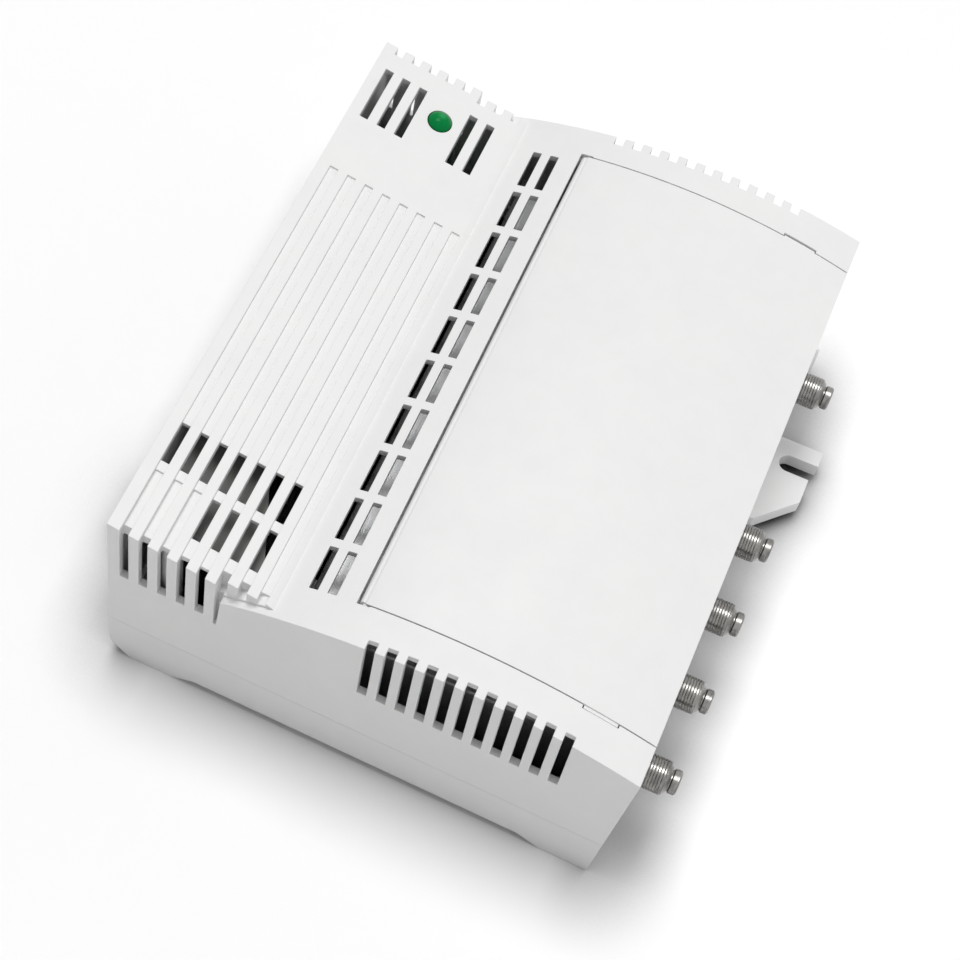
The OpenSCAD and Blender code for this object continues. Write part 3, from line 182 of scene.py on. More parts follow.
class EffectLibrary:
    """Builds each shared effect once, as a shader node group."""

    FLOAT = "NodeSocketFloat"
    VECTOR = "NodeSocketVector"

    # Values at which each effect starts and is full
    MOTTLED = (0.34, 0.66)
    # Edge mask range: wear and a painted highlight along edges
    WEAR_AND_HIGHLIGHT = (0.98, 0.80)
    LEVEL = (0.55, 0.95)
    SETTLED = (0.42, 0.75)
    DRAWN = (0.32, 0.68)

    def __init__(self) -> None:
        """Start with no group built."""
        self._made: dict[Effect, bpy.types.NodeTree] = {}
        self._writers: dict[Effect, Callable[[], bpy.types.NodeTree]] = {
            Effect.GRAIN: self._grain,
            Effect.EDGES: self._edges,
            Effect.DUST: self._dust,
            Effect.BRUSH: self._brush,
            Effect.BANDS: self._bands,
        }

    def place(self, graph: Graph, effect: Effect, **values: SocketValue) -> bpy.types.Node:
        """Put an effect into a material.

        Args:
            graph: The material's tree.
            effect: Which effect.
            values: The effect's named inputs, with _ for a space.

        Returns:
            The group node, with its outputs.
        """
        if effect not in self._made:
            self._made[effect] = self._writers[effect]()
        made = graph.node("ShaderNodeGroup", node_tree=self._made[effect])
        for name, value in values.items():
            made.inputs[name.replace("_", " ")].default_value = value
        return made

    def _open(self, effect: Effect, inputs: dict[str, str], outputs: Sequence[str]
              ) -> tuple[bpy.types.NodeTree, Graph, bpy.types.Node, bpy.types.Node]:
        """Start a group with its named sockets.

        Args:
            effect: The effect, for the group's name.
            inputs: Socket type of each input.
            outputs: Names of the outputs, all plain values.

        Returns:
            The group, its writer, its input node and its output node.
        """
        tree = bpy.data.node_groups.new(effect.value, "ShaderNodeTree")
        for name, kind in inputs.items():
            tree.interface.new_socket(name, in_out="INPUT", socket_type=kind)
        for name in outputs:
            tree.interface.new_socket(name, in_out="OUTPUT", socket_type=self.FLOAT)
        graph = Graph(tree)
        return tree, graph, graph.node("NodeGroupInput"), graph.node("NodeGroupOutput")

    def _grain(self) -> bpy.types.NodeTree:
        """Fine spark-eroded texture, and broad patches of slightly different skin.

        Returns:
            The effect's node group.
        """
        tree, graph, given, result = self._open(
            Effect.GRAIN, {"Grains": self.FLOAT, "Patches": self.FLOAT}, ("Height", "Mottle"))
        place = graph.node("ShaderNodeTexCoord").outputs["Object"]
        fine = graph.node("ShaderNodeTexNoise", {
            "Vector": place, "Scale": given.outputs["Grains"], "Detail": 2.0, "Roughness": 0.6})
        broad = graph.node("ShaderNodeTexNoise", {
            "Vector": place, "Scale": given.outputs["Patches"], "Detail": 3.0, "Roughness": 0.55})
        graph.link(fine.outputs[0], result.inputs["Height"])
        graph.link(graph.span(broad.outputs[0], self.MOTTLED), result.inputs["Mottle"])
        return tree

    def _edges(self) -> bpy.types.NodeTree:
        """Places near an edge, for worn or thinly plated skin and for a painted highlight along
        the edge.

        Returns:
            The effect's node group.
        """
        tree, graph, given, result = self._open(Effect.EDGES, {"Reach": self.FLOAT}, ("Edge",))
        rounded = graph.node("ShaderNodeBevel", {"Radius": given.outputs["Reach"]}, samples=4)
        true = graph.node("ShaderNodeNewGeometry").outputs["Normal"]
        agree = graph.node("ShaderNodeVectorMath", {0: rounded.outputs[0], 1: true},
                           operation="DOT_PRODUCT").outputs["Value"]
        graph.link(graph.span(agree, self.WEAR_AND_HIGHLIGHT), result.inputs["Edge"])
        return tree

    def _dust(self) -> bpy.types.NodeTree:
        """A thin, patchy film on surfaces that face up.

        Returns:
            The effect's node group.
        """
        tree, graph, given, result = self._open(
            Effect.DUST, {"Amount": self.FLOAT, "Patches": self.FLOAT}, ("Dust",))
        coords = graph.node("ShaderNodeTexCoord")
        up = graph.node("ShaderNodeSeparateXYZ", {0: coords.outputs["Normal"]}).outputs["Z"]
        noise = graph.node("ShaderNodeTexNoise", {
            "Vector": coords.outputs["Object"], "Scale": given.outputs["Patches"], "Detail": 4.0})
        lying = graph.math("MULTIPLY", graph.span(up, self.LEVEL),
                           graph.span(noise.outputs[0], self.SETTLED))
        graph.link(graph.math("MULTIPLY", lying, given.outputs["Amount"]), result.inputs["Dust"])
        return tree

    def _brush(self) -> bpy.types.NodeTree:
        """Drawn-out lines of rolled, turned or brushed metal.

        Returns:
            The effect's node group.
        """
        tree, graph, given, result = self._open(
            Effect.BRUSH, {"Stretch": self.VECTOR, "Lines": self.FLOAT}, ("Brush",))
        place = graph.node("ShaderNodeTexCoord").outputs["Object"]
        drawn = graph.node("ShaderNodeVectorMath", {0: place, 1: given.outputs["Stretch"]},
                           operation="MULTIPLY").outputs["Vector"]
        noise = graph.node("ShaderNodeTexNoise", {
            "Vector": drawn, "Scale": given.outputs["Lines"], "Detail": 3.0, "Roughness": 0.6})
        graph.link(graph.span(noise.outputs[0], self.DRAWN), result.inputs["Brush"])
        return tree

    def _bands(self) -> bpy.types.NodeTree:
        """Even bands across a direction, for laminations, tape laps and turns of wire.

        Returns:
            The effect's node group.
        """
        tree, graph, given, result = self._open(
            Effect.BANDS, {"Direction": self.VECTOR, "Per metre": self.FLOAT}, ("Band",))
        place = graph.node("ShaderNodeTexCoord").outputs["Object"]
        along = graph.node("ShaderNodeVectorMath", {0: place, 1: given.outputs["Direction"]},
                           operation="DOT_PRODUCT").outputs["Value"]
        count = graph.math("MULTIPLY", along, given.outputs["Per metre"])
        graph.link(graph.math("MULTIPLY", graph.math("PINGPONG", count, 0.5), 2.0),
                   result.inputs["Band"])
        return tree


EFFECTS = EffectLibrary()


@dataclass(frozen=True)
class Finish:
    """What every finish has: a name, the record's slot and its two tones."""

    name: str
    slot: str
    colour: Colour
    second: Colour
    roughness: float
    spread: float

    def material(self) -> bpy.types.Material:
        """Give the finish's material, made at its first use.

        Returns:
            The Blender material.
        """
        made = bpy.data.materials.get(self.name)
        if made is None:
            made = bpy.data.materials.new(self.name)
            made.use_nodes = True
            made.diffuse_color = self.colour
            shader = made.node_tree.nodes["Principled BSDF"]
            self.compose(Graph(made.node_tree), shader)
        return made

    def compose(self, graph: Graph, shader: bpy.types.Node) -> None:
        """Write the nodes that feed the shader; each kind of finish has its own."""
        raise NotImplementedError

    def rough_by(self, graph: Graph, mask: bpy.types.NodeSocket, shader: bpy.types.Node) -> None:
        """Let a mask move the roughness about its middle value."""
        low, high = self.roughness - self.spread, self.roughness + self.spread
        graph.link(graph.span(mask, MASK, (low, high)), shader.inputs["Roughness"])


@dataclass(frozen=True)
class Moulding(Finish):
    """Moulded plastic: fine grain, faint mottle, lighter edges for wear and as a painted
    highlight, and a little dust.
    """

    # Edge colour: lighter, partly wear and partly a painted highlight
    worn_and_highlit: Colour = (0.9, 0.9, 0.9, 1.0)
    dust_colour: Colour = (0.55, 0.54, 0.52, 1.0)
    grains: float = 2600.0
    patches: float = 55.0
    depth: float = 0.00003
    relief: float = 0.35
    reach: float = 0.0004
    dust: float = 0.05
    dust_patches: float = 165.0
    gloss: float = 0.4

    def compose(self, graph: Graph, shader: bpy.types.Node) -> None:
        """Write the moulded skin.

        Args:
            graph: The material's tree.
            shader: The Principled shader.
        """
        grain = EFFECTS.place(graph, Effect.GRAIN, Grains=self.grains, Patches=self.patches)
        edges = EFFECTS.place(graph, Effect.EDGES, Reach=self.reach)
        dust = EFFECTS.place(graph, Effect.DUST, Amount=self.dust, Patches=self.dust_patches)
        skin = graph.blend(grain.outputs["Mottle"], self.colour, self.second)
        # Painted highlight: edges lighter in colour, partly standing for wear
        skin = graph.blend(edges.outputs["Edge"], skin, self.worn_and_highlit)
        graph.link(graph.blend(dust.outputs["Dust"], skin, self.dust_colour),
                   shader.inputs["Base Color"])
        self.rough_by(graph, grain.outputs["Mottle"], shader)
        bump = graph.node("ShaderNodeBump", {
            "Strength": self.relief, "Distance": self.depth, "Height": grain.outputs["Height"]})
        graph.link(bump.outputs[0], shader.inputs["Normal"])
        shader.inputs["Specular IOR Level"].default_value = self.gloss


@dataclass(frozen=True)
class Metal(Finish):
    """Plated, tinned or bare metal with drawn-out lines and duller patches."""

    stretch: Triple = (1.0, 1.0, 1.0)
    lines: float = 900.0
    patches: float = 160.0
    depth: float = 0.00002
    relief: float = 0.25

    def compose(self, graph: Graph, shader: bpy.types.Node) -> None:
        """Write the metal surface.

        Args:
            graph: The material's tree.
            shader: The Principled shader.
        """
        brush = EFFECTS.place(graph, Effect.BRUSH, Stretch=self.stretch, Lines=self.lines)
        grain = EFFECTS.place(graph, Effect.GRAIN, Grains=self.lines, Patches=self.patches)
        tone = graph.math("MULTIPLY", brush.outputs["Brush"], grain.outputs["Mottle"])
        graph.link(graph.blend(tone, self.colour, self.second), shader.inputs["Base Color"])
        self.rough_by(graph, brush.outputs["Brush"], shader)
        bump = graph.node("ShaderNodeBump", {
            "Strength": self.relief, "Distance": self.depth, "Height": brush.outputs["Brush"]})
        graph.link(bump.outputs[0], shader.inputs["Normal"])
        shader.inputs["Metallic"].default_value = 1.0


@dataclass(frozen=True)
class Banded(Finish):
    """Laminations, tape laps or turns of wire: two tones in even bands."""

    direction: Triple = (1.0, 0.0, 0.0)
    per_metre: float = 2000.0
    metallic: float = 0.0
    depth: float = 0.00008
    relief: float = 0.6
    grains: float = 3000.0
    patches: float = 220.0
    unbroken: Pair = (0.55, 1.0)

    def compose(self, graph: Graph, shader: bpy.types.Node) -> None:
        """Write the bands, broken a little by mottle.

        Args:
            graph: The material's tree.
            shader: The Principled shader.
        """
        bands = EFFECTS.place(graph, Effect.BANDS, Direction=self.direction,
                              Per_metre=self.per_metre)
        grain = EFFECTS.place(graph, Effect.GRAIN, Grains=self.grains, Patches=self.patches)
        tone = graph.math("MULTIPLY", bands.outputs["Band"],
                          graph.span(grain.outputs["Mottle"], MASK, self.unbroken))
        graph.link(graph.blend(tone, self.colour, self.second), shader.inputs["Base Color"])
        self.rough_by(graph, grain.outputs["Mottle"], shader)
        bump = graph.node("ShaderNodeBump", {
            "Strength": self.relief, "Distance": self.depth, "Height": bands.outputs["Band"]})
        graph.link(bump.outputs[0], shader.inputs["Normal"])
        shader.inputs["Metallic"].default_value = self.metallic


@dataclass(frozen=True)
class Laminate(Finish):
    """Circuit board: solder resist over copper tracks, with the glass weave under it."""

    tracks: float = 260.0
    track_edge: Pair = (0.42, 0.50)
    depth: float = 0.00006
    relief: float = 0.4
    grains: float = 4000.0
    patches: float = 90.0
    unbroken: Pair = (0.6, 1.0)

    def compose(self, graph: Graph, shader: bpy.types.Node) -> None:
        """Write the resist and its tracks.

        Args:
            graph: The material's tree.
            shader: The Principled shader.
        """
        place = graph.node("ShaderNodeTexCoord").outputs["Object"]
        layout = graph.node("ShaderNodeTexVoronoi", {"Vector": place, "Scale": self.tracks},
                            distance="MANHATTAN", feature="F1")
        track = graph.span(layout.outputs["Distance"], self.track_edge)
        grain = EFFECTS.place(graph, Effect.GRAIN, Grains=self.grains, Patches=self.patches)
        tone = graph.math("MULTIPLY", track,
                          graph.span(grain.outputs["Mottle"], MASK, self.unbroken))
        graph.link(graph.blend(tone, self.colour, self.second), shader.inputs["Base Color"])
        self.rough_by(graph, grain.outputs["Mottle"], shader)
        bump = graph.node("ShaderNodeBump", {
            "Strength": self.relief, "Distance": self.depth, "Height": track})
        graph.link(bump.outputs[0], shader.inputs["Normal"])


@dataclass(frozen=True)
class TintedLens(Finish):
    """Coloured clear plastic, deep all over, with a painted highlight spot on its dome for the
    lit LED chip.
    """

    # Painted highlight: colour of a lighter spot on the dome, its centre and its reach, in metres
    painted_highlight: Colour = (0.03, 0.32, 0.10, 1.0)
    highlight_centre: Triple = (-0.0489, 0.0726, 0.0672)
    highlight_reach: float = 0.0016
    grains: float = 900.0
    patches: float = 320.0
    gloss: float = 0.05

    def compose(self, graph: Graph, shader: bpy.types.Node) -> None:
        """Write the lens.

        Args:
            graph: The material's tree.
            shader: The Principled shader.
        """
        grain = EFFECTS.place(graph, Effect.GRAIN, Grains=self.grains, Patches=self.patches)
        place = graph.node("ShaderNodeTexCoord").outputs["Object"]
        away = graph.node("ShaderNodeVectorMath", {0: place, 1: self.highlight_centre},
                          operation="DISTANCE").outputs["Value"]
        skin = graph.blend(grain.outputs["Mottle"], self.colour, self.second)
        # Painted highlight: the colour turns lighter green close to a fixed point on the dome
        graph.link(graph.blend(graph.span(away, (self.highlight_reach, 0.0)), skin, self.painted_highlight),
                   shader.inputs["Base Color"])
        self.rough_by(graph, grain.outputs["Mottle"], shader)
        shader.inputs["Specular IOR Level"].default_value = self.gloss


@dataclass(frozen=True)
class ClearTube(Finish):
    """Thin clear glass with faint streaks in its polish."""

    stretch: Triple = (1.0, 0.1, 1.0)
    lines: float = 700.0
    clear: float = 0.92
    bend: float = 1.47

    def compose(self, graph: Graph, shader: bpy.types.Node) -> None:
        """Write the glass.

        Args:
            graph: The material's tree.
            shader: The Principled shader.
        """
        brush = EFFECTS.place(graph, Effect.BRUSH, Stretch=self.stretch, Lines=self.lines)
        graph.link(graph.blend(brush.outputs["Brush"], self.colour, self.second),
                   shader.inputs["Base Color"])
        self.rough_by(graph, brush.outputs["Brush"], shader)
        shader.inputs["Transmission Weight"].default_value = self.clear
        shader.inputs["IOR"].default_value = self.bend


CASE_WHITE = Moulding(
    "case_skin", "case_white",
    (0.800, 0.800, 0.795, 1.0), (0.785, 0.786, 0.784, 1.0), 0.47, 0.05,
    worn_and_highlit=(0.83, 0.83, 0.826, 1.0))
CONTROL_WHITE = Moulding(
    "control_skin", "control_white",
    (0.72, 0.72, 0.68, 1.0), (0.68, 0.68, 0.64, 1.0), 0.42, 0.06,
    worn_and_highlit=(0.80, 0.80, 0.77, 1.0))
INSULATOR = Moulding(
    "insulator_skin", "insulator_white",
    (0.80, 0.79, 0.74, 1.0), (0.74, 0.73, 0.67, 1.0), 0.5, 0.06,
    worn_and_highlit=(0.84, 0.83, 0.79, 1.0))
BLACK = Moulding(
    "resin_black", "moulded_black",
    (0.014, 0.014, 0.015, 1.0), (0.022, 0.022, 0.023, 1.0), 0.55, 0.1,
    worn_and_highlit=(0.05, 0.05, 0.05, 1.0), dust=0.12)
CARD = Moulding(
    "insulating_card", "card_grey",
    (0.32, 0.32, 0.31, 1.0), (0.26, 0.26, 0.252, 1.0), 0.7, 0.08,
    worn_and_highlit=(0.38, 0.38, 0.37, 1.0), grains=1500.0, relief=0.6)
TERMINAL_BLUE = Moulding(
    "terminal_skin", "terminal_blue",
    (0.044, 0.155, 0.38, 1.0), (0.036, 0.13, 0.33, 1.0), 0.45, 0.07,
    worn_and_highlit=(0.10, 0.25, 0.50, 1.0))
TRIMMER_BLUE = Moulding(
    "trimmer_skin", "trimmer_blue",
    (0.042, 0.114, 0.254, 1.0), (0.034, 0.095, 0.22, 1.0), 0.45, 0.07,
    worn_and_highlit=(0.10, 0.20, 0.36, 1.0))
FILM_YELLOW = Moulding(
    "film_skin", "film_yellow",
    (0.69, 0.54, 0.047, 1.0), (0.62, 0.47, 0.04, 1.0), 0.36, 0.06,
    worn_and_highlit=(0.76, 0.63, 0.15, 1.0))
SLEEVE_NAVY = Moulding(
    "sleeve_skin", "sleeve_navy",
    (0.020, 0.037, 0.079, 1.0), (0.016, 0.029, 0.064, 1.0), 0.30, 0.06,
    worn_and_highlit=(0.07, 0.10, 0.16, 1.0))
NICKEL = Metal(
    "nickel_plate", "nickel",
    (0.29, 0.282, 0.27, 1.0), (0.14, 0.136, 0.13, 1.0), 0.28, 0.05,
    stretch=(1.0, 0.25, 0.25), lines=1400.0)
TINPLATE = Metal(
    "tinned_sheet", "tinplate",
    (0.47, 0.473, 0.477, 1.0), (0.34, 0.343, 0.347, 1.0), 0.40, 0.08,
    stretch=(1.0, 0.05, 1.0), lines=1500.0)
BRASS = Metal(
    "spring_brass", "contact_brass",
    (0.69, 0.48, 0.17, 1.0), (0.52, 0.35, 0.11, 1.0), 0.27, 0.08,
    stretch=(0.2, 1.0, 1.0))
ANODISED = Metal(
    "anodised_sink", "sink_grey",
    (0.095, 0.105, 0.115, 1.0), (0.065, 0.07, 0.08, 1.0), 0.45, 0.08,
    stretch=(1.0, 1.0, 0.06))
LAMINATIONS = Banded(
    "core_laminations", "core_grey",
    (0.27, 0.28, 0.295, 1.0), (0.15, 0.155, 0.165, 1.0), 0.42, 0.1,
    direction=(1.0, 0.0, 0.0), per_metre=2000.0, metallic=0.35)
TAPE = Banded(
    "winding_tape", "tape_grey",
    (0.20, 0.20, 0.205, 1.0), (0.13, 0.13, 0.135, 1.0), 0.40, 0.1,
    direction=(0.0, 0.0, 1.0), per_metre=170.0)
COPPER = Banded(
    "enamelled_wire", "choke_copper",
    (0.46, 0.17, 0.04, 1.0), (0.33, 0.11, 0.025, 1.0), 0.26, 0.07,
    direction=(0.0, 1.0, 1.0), per_metre=420.0, metallic=0.7, relief=0.2)
BOARD = Laminate(
    "board_resist", "board_green",
    (0.022, 0.125, 0.048, 1.0), (0.04, 0.19, 0.075, 1.0), 0.33, 0.08)
LENS = TintedLens(
    "indicator_green", "lens_green",
    (0.0010, 0.195, 0.046, 1.0), (0.0012, 0.21, 0.050, 1.0), 0.14, 0.03)
GLASS = ClearTube(
    "fuse_tube_glass", "fuse_glass",
    (0.90, 0.94, 0.94, 1.0), (0.84, 0.89, 0.90, 1.0), 0.05, 0.02)


def dress_node(node: str, finish: Finish, edge: float = 0.0) -> None:
    """Give a CAD node its finish and, where it is rigid moulding or sheet, softened edges.

    Args:
        node: The node's name.
        finish: Its finish.
        edge: Width of the softened edge in millimetres, or 0 for none.
    """
    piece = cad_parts[node]
    piece.data.materials.clear()
    piece.data.materials.append(finish.material())
    if edge > 0.0:
        soften(piece, edge)
    LOG.info("%s: finish %s", node, finish.name)


def soften(piece: bpy.types.Object, edge: float) -> None:
    """Join a piece's flat faces and round its sharp edges, by modifiers.

    Args:
        piece: The object.
        edge: Width of the rounding in millimetres.
    """
    weld = piece.modifiers.new("join", "WELD")
    weld.merge_threshold = JOIN_WITHIN * MM
    flat = piece.modifiers.new("flat", "DECIMATE")
    flat.decimate_type = "DISSOLVE"
    flat.angle_limit = math.radians(FLAT_WITHIN)
    bevel = piece.modifiers.new("round", "BEVEL")
    bevel.width = edge * MM
    bevel.segments = ROUND_STEPS
    bevel.limit_method = "ANGLE"
    bevel.angle_limit = math.radians(SHARP_FROM)
    bevel.use_clamp_overlap = False
    bevel.loop_slide = False
    normals = piece.modifiers.new("even", "WEIGHTED_NORMAL")
    normals.keep_sharp = False


def skin(form: bmesh.types.BMesh, loops: list[list[bmesh.types.BMVert]]) -> None:
    """Join closed loops of vertices in order, and the last to the first.

    Args:
        form: The form that gets the faces.
        loops: The loops, all with the same number of vertices.
    """
    for first, second in zip(loops, loops[1:] + loops[:1]):
        for step in range(len(first)):
            after = (step + 1) % len(first)
            form.faces.new((first[step], first[after], second[after], second[step]))


@dataclass
class Lathe:
    """Closed form of rings set along X, each round or with its own radius at each angle."""

    sides: int

    def mesh(self, rings: Sequence[tuple[float, Radius]]) -> bmesh.types.BMesh:
        """Skin the rings in order and close the last to the first.

        Args:
            rings: Place along X, and radius or radius at each angle, in millimetres.

        Returns:
            The form, in metres, about the X axis.
        """
        form = bmesh.new()
        loops = []
        for along, radius in rings:
            loop = []
            for step in range(self.sides):
                angle = TURN * step / self.sides
                reach = radius(angle) if callable(radius) else radius
                loop.append(form.verts.new((along * MM, reach * math.cos(angle) * MM,
                                            reach * math.sin(angle) * MM)))
            loops.append(loop)
        skin(form, loops)
        bmesh.ops.remove_doubles(form, verts=form.verts, dist=TURNED_WITHIN * MM)
        bmesh.ops.recalc_face_normals(form, faces=form.faces)
        return form


def piece_from(form: bmesh.types.BMesh, name: str, finish: Finish, body: Body,
               crease: float = 35.0) -> bpy.types.Object:
    """Turn a built form into a piece that rides on a body.

    Args:
        form: The form, in its place in the frame.
        name: Name of the piece.
        finish: Its finish.
        body: The body that carries it.
        crease: Angle in degrees from which an edge stays sharp.

    Returns:
        The piece.
    """
    data = bpy.data.meshes.new(name)
    form.to_mesh(data)
    form.free()
    data.materials.append(finish.material())
    data.shade_smooth()
    data.set_sharp_from_angle(angle=math.radians(crease))
    piece = bpy.data.objects.new(name, data)
    bpy.context.scene.collection.objects.link(piece)
    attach(piece, body.value)
    LOG.info("%s: built, %d faces, finish %s", name, len(data.polygons), finish.name)
    return piece


@dataclass
class MouldedCase:
    """Base tray, top cover, access lid and cord gland."""

    cover_edge: float = 0.18
    base_edge: float = 0.14
    lid_edge: float = 0.12
    gland_edge: float = EDGE_SOFT

    def dress(self) -> None:
        """Give the mouldings their white skin and soft edges."""
        dress_node("top_cover", CASE_WHITE, self.cover_edge)
        dress_node("base_tray", CASE_WHITE, self.base_edge)
        dress_node("access_lid", CASE_WHITE, self.lid_edge)
        dress_node("cord_gland", CASE_WHITE, self.gland_edge)
        dress_node("cover_screws", NICKEL, EDGE_SHEET)


@dataclass
class IndicatorLens:
    """Domed green lens in the ribbed block."""

    centre: Triple = (-49.158, 71.7, 65.31)
    tilt: float = 10.5
    radius: float = 3.4
    dome: float = 1.9
    foot: float = 3.4
    flange: float = 1.2
    rim: float = 0.25
    dome_steps: int = 14
    sides: int = 64

    def build(self) -> None:
        """Turn the lens about its axis and set it in the block."""
        bow = (self.radius ** 2 + self.dome ** 2) / (2.0 * self.dome)
        outline = [(-self.foot, AXIS), (-self.foot, self.radius + self.flange),
                   (self.flange - self.foot, self.radius + self.flange),
                   (self.flange - self.foot, self.radius), (-self.rim, self.radius)]
        for step in range(self.dome_steps + 1):
            angle = math.asin(self.radius / bow) * (1.0 - step / self.dome_steps)
            outline.append((bow * math.cos(angle) - bow + self.dome,
                            max(bow * math.sin(angle), AXIS)))
        form = Lathe(self.sides).mesh(outline)
        upright = Matrix.Rotation(-0.5 * math.pi + math.radians(self.tilt), 4, "Y")
        place = Matrix.Translation(Vector(self.centre) * MM)
        bmesh.ops.transform(form, matrix=place @ upright, verts=form.verts)
        piece = piece_from(form, "indicator_lens", LENS, Body.CASE)
        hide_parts("power_led")


@dataclass
class CoaxialConnectors:
    """Five threaded sockets in the right wall, with their insulators, contacts and nuts."""

    rows: tuple[float, ...] = (-73.8, -48.6, -23.4, 1.8, 57.1)
    height: float = 33.1
    inner: float = 57.66
    seat: float = 65.26
    hex_flats: float = 11.0
    hex_deep: float = 2.6
    hex_inset: float = 0.1
    hex_chamfer: float = 0.3
    stem: float = 4.263
    thread_start: float = 72.44
    thread_end: float = 79.16
    thread: float = 4.763
    pitch: float = 0.794
    thread_deep: float = 0.13
    thread_flank: float = 0.26
    thread_root: float = 0.06
    fade: float = 0.7
    run_out: float = 0.05
    taper_end: float = 80.22
    neck: float = 2.9
    ring_start: float = 80.46
    ring: float = 3.42
    tip: float = 82.76
    chamfer: float = 0.4
    bore: float = 2.25
    bore_chamfer: float = 0.15
    rows_per_pitch: int = 12
    sides: int = 60

    def build(self) -> None:
        """Turn and thread the five bodies, near end first."""
        for number, row in enumerate(self.rows, start=1):
            form = Lathe(self.sides).mesh(self._rings())
            place = Matrix.Translation(Vector((0.0, row, self.height)) * MM)
            bmesh.ops.transform(form, matrix=place, verts=form.verts)
            piece = piece_from(form, f"threaded_body_{number}", NICKEL, Body.CASE)
            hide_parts(f"f_connector_{number}")

    def dress(self) -> None:
        """Finish the pieces that stay as the frame has them."""
        for number in range(1, len(self.rows) + 1):
            dress_node(f"f_insulator_{number}", INSULATOR, EDGE_THIN)
            dress_node(f"f_contact_{number}", BRASS)
        dress_node("connector_nuts", NICKEL, EDGE_PART)

    def _rings(self) -> list[tuple[float, Radius]]:
        """List the body's rings from its inner end round to its bore.

        Returns:
            Place along X, and radius or radius at each angle, in millimetres.
        """
        hex_back = self.seat - self.hex_deep
        hex_face = 0.5 * self.hex_flats - self.hex_inset
        rings: list[tuple[float, Radius]] = [
            (self.inner, self.bore), (self.inner, self.stem),
            (hex_back, self.stem), (hex_back, hex_face),
            (hex_back + self.hex_chamfer, self._hexagon),
            (self.seat - self.hex_chamfer, self._hexagon),
            (self.seat, hex_face), (self.seat, self.stem),
            (self.thread_start, self.stem)]
        step = self.pitch / self.rows_per_pitch
        count = int((self.thread_end - self.thread_start) / step)
        for index in range(count + 1):
            along = self.thread_start + (self.thread_end - self.thread_start) * index / count
            rings.append((along, self._threaded(along)))
        rings += [(self.thread_end + self.run_out, self.thread - self.thread_deep),
                  (self.taper_end, self.ring), (self.taper_end, self.neck),
                  (self.ring_start, self.neck), (self.ring_start, self.ring - self.chamfer),
                  (self.ring_start + self.chamfer, self.ring),
                  (self.tip - self.chamfer, self.ring),
                  (self.tip, self.ring - self.chamfer),
                  (self.tip, self.bore + self.bore_chamfer),
                  (self.tip - self.bore_chamfer, self.bore)]
        return rings

    def _threaded(self, along: float) -> Callable[[float], float]:
        """Give a ring of the thread, which fades out towards its two ends.

        Args:
            along: The ring's place along X, in millimetres.

        Returns:
            The ring's radius at each angle, in millimetres.
        """
        lead = min(1.0, (along - self.thread_start) / self.pitch,
                   (self.thread_end - along) / (self.fade * self.pitch))

        def reach(angle: float) -> float:
            """Give the radius at an angle, between the thread's root and its crest."""
            phase = (along / self.pitch - angle / TURN) % 1.0
            climb = (1.0 - abs(2.0 * phase - 1.0) - self.thread_root) / self.thread_flank
            flank = min(1.0, max(0.0, climb))
            return self.thread - self.thread_deep * (1.0 - flank * lead)

        return reach

    def _hexagon(self, angle: float) -> float:
        """Give the hexagon's reach at an angle, with a flat at angle 0."""
        off = (angle + TURN / 12.0) % (TURN / 6.0) - TURN / 12.0
        return 0.5 * self.hex_flats / math.cos(off)


@dataclass
class GlassFuse:
    """Fuse of a glass tube, two caps and the wire between them."""

    cap_length: float = 5.0
    cap_wall: float = 0.2
    cap_end: float = 0.6
    cap_chamfer: float = 0.3
    cap_gap: float = 0.02
    glass_wall: float = 0.5
    glass_seat: float = 1.0
    wire_end: float = 2.0
    wire_radius: float = 0.12
    sides: int = 32

    def build(self) -> None:
        """Turn the four pieces and lay them along Y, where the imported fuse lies."""
        low, high = (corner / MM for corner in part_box("fuse"))
        radius = (high.x - low.x) / 2.0
        length = high.y - low.y
        turn = Matrix.Rotation(0.5 * math.pi, 4, "Z")
        place = Matrix.Translation(Vector(((low.x + high.x) / 2.0, low.y,
                                           (low.z + high.z) / 2.0)) * MM) @ turn
        glass = radius - self.cap_wall
        inner = glass - self.glass_wall
        start = self.cap_length - self.glass_seat
        bore = glass + self.cap_gap
        tube = [(start, inner), (start, glass), (length - start, glass), (length - start, inner)]
        wire = [(self.wire_end, AXIS), (self.wire_end, self.wire_radius),
                (length - self.wire_end, self.wire_radius), (length - self.wire_end, AXIS)]
        near = [(0.0, AXIS), (0.0, radius - self.cap_chamfer), (self.cap_chamfer, radius),
                (self.cap_length, radius), (self.cap_length, bore), (self.cap_end, bore),
                (self.cap_end, AXIS)]
        far = [(length - along, reach) for along, reach in near]
        for name, outline, finish in (
                ("fuse_glass_tube", tube, GLASS), ("fuse_element", wire, NICKEL),
                ("fuse_cap_near", near, NICKEL), ("fuse_cap_far", far, NICKEL)):
            form = Lathe(self.sides).mesh(outline)
            bmesh.ops.transform(form, matrix=place, verts=form.verts)
            piece = piece_from(form, name, finish, Body.CASE)
            if name == "fuse_glass_tube":
                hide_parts("fuse")


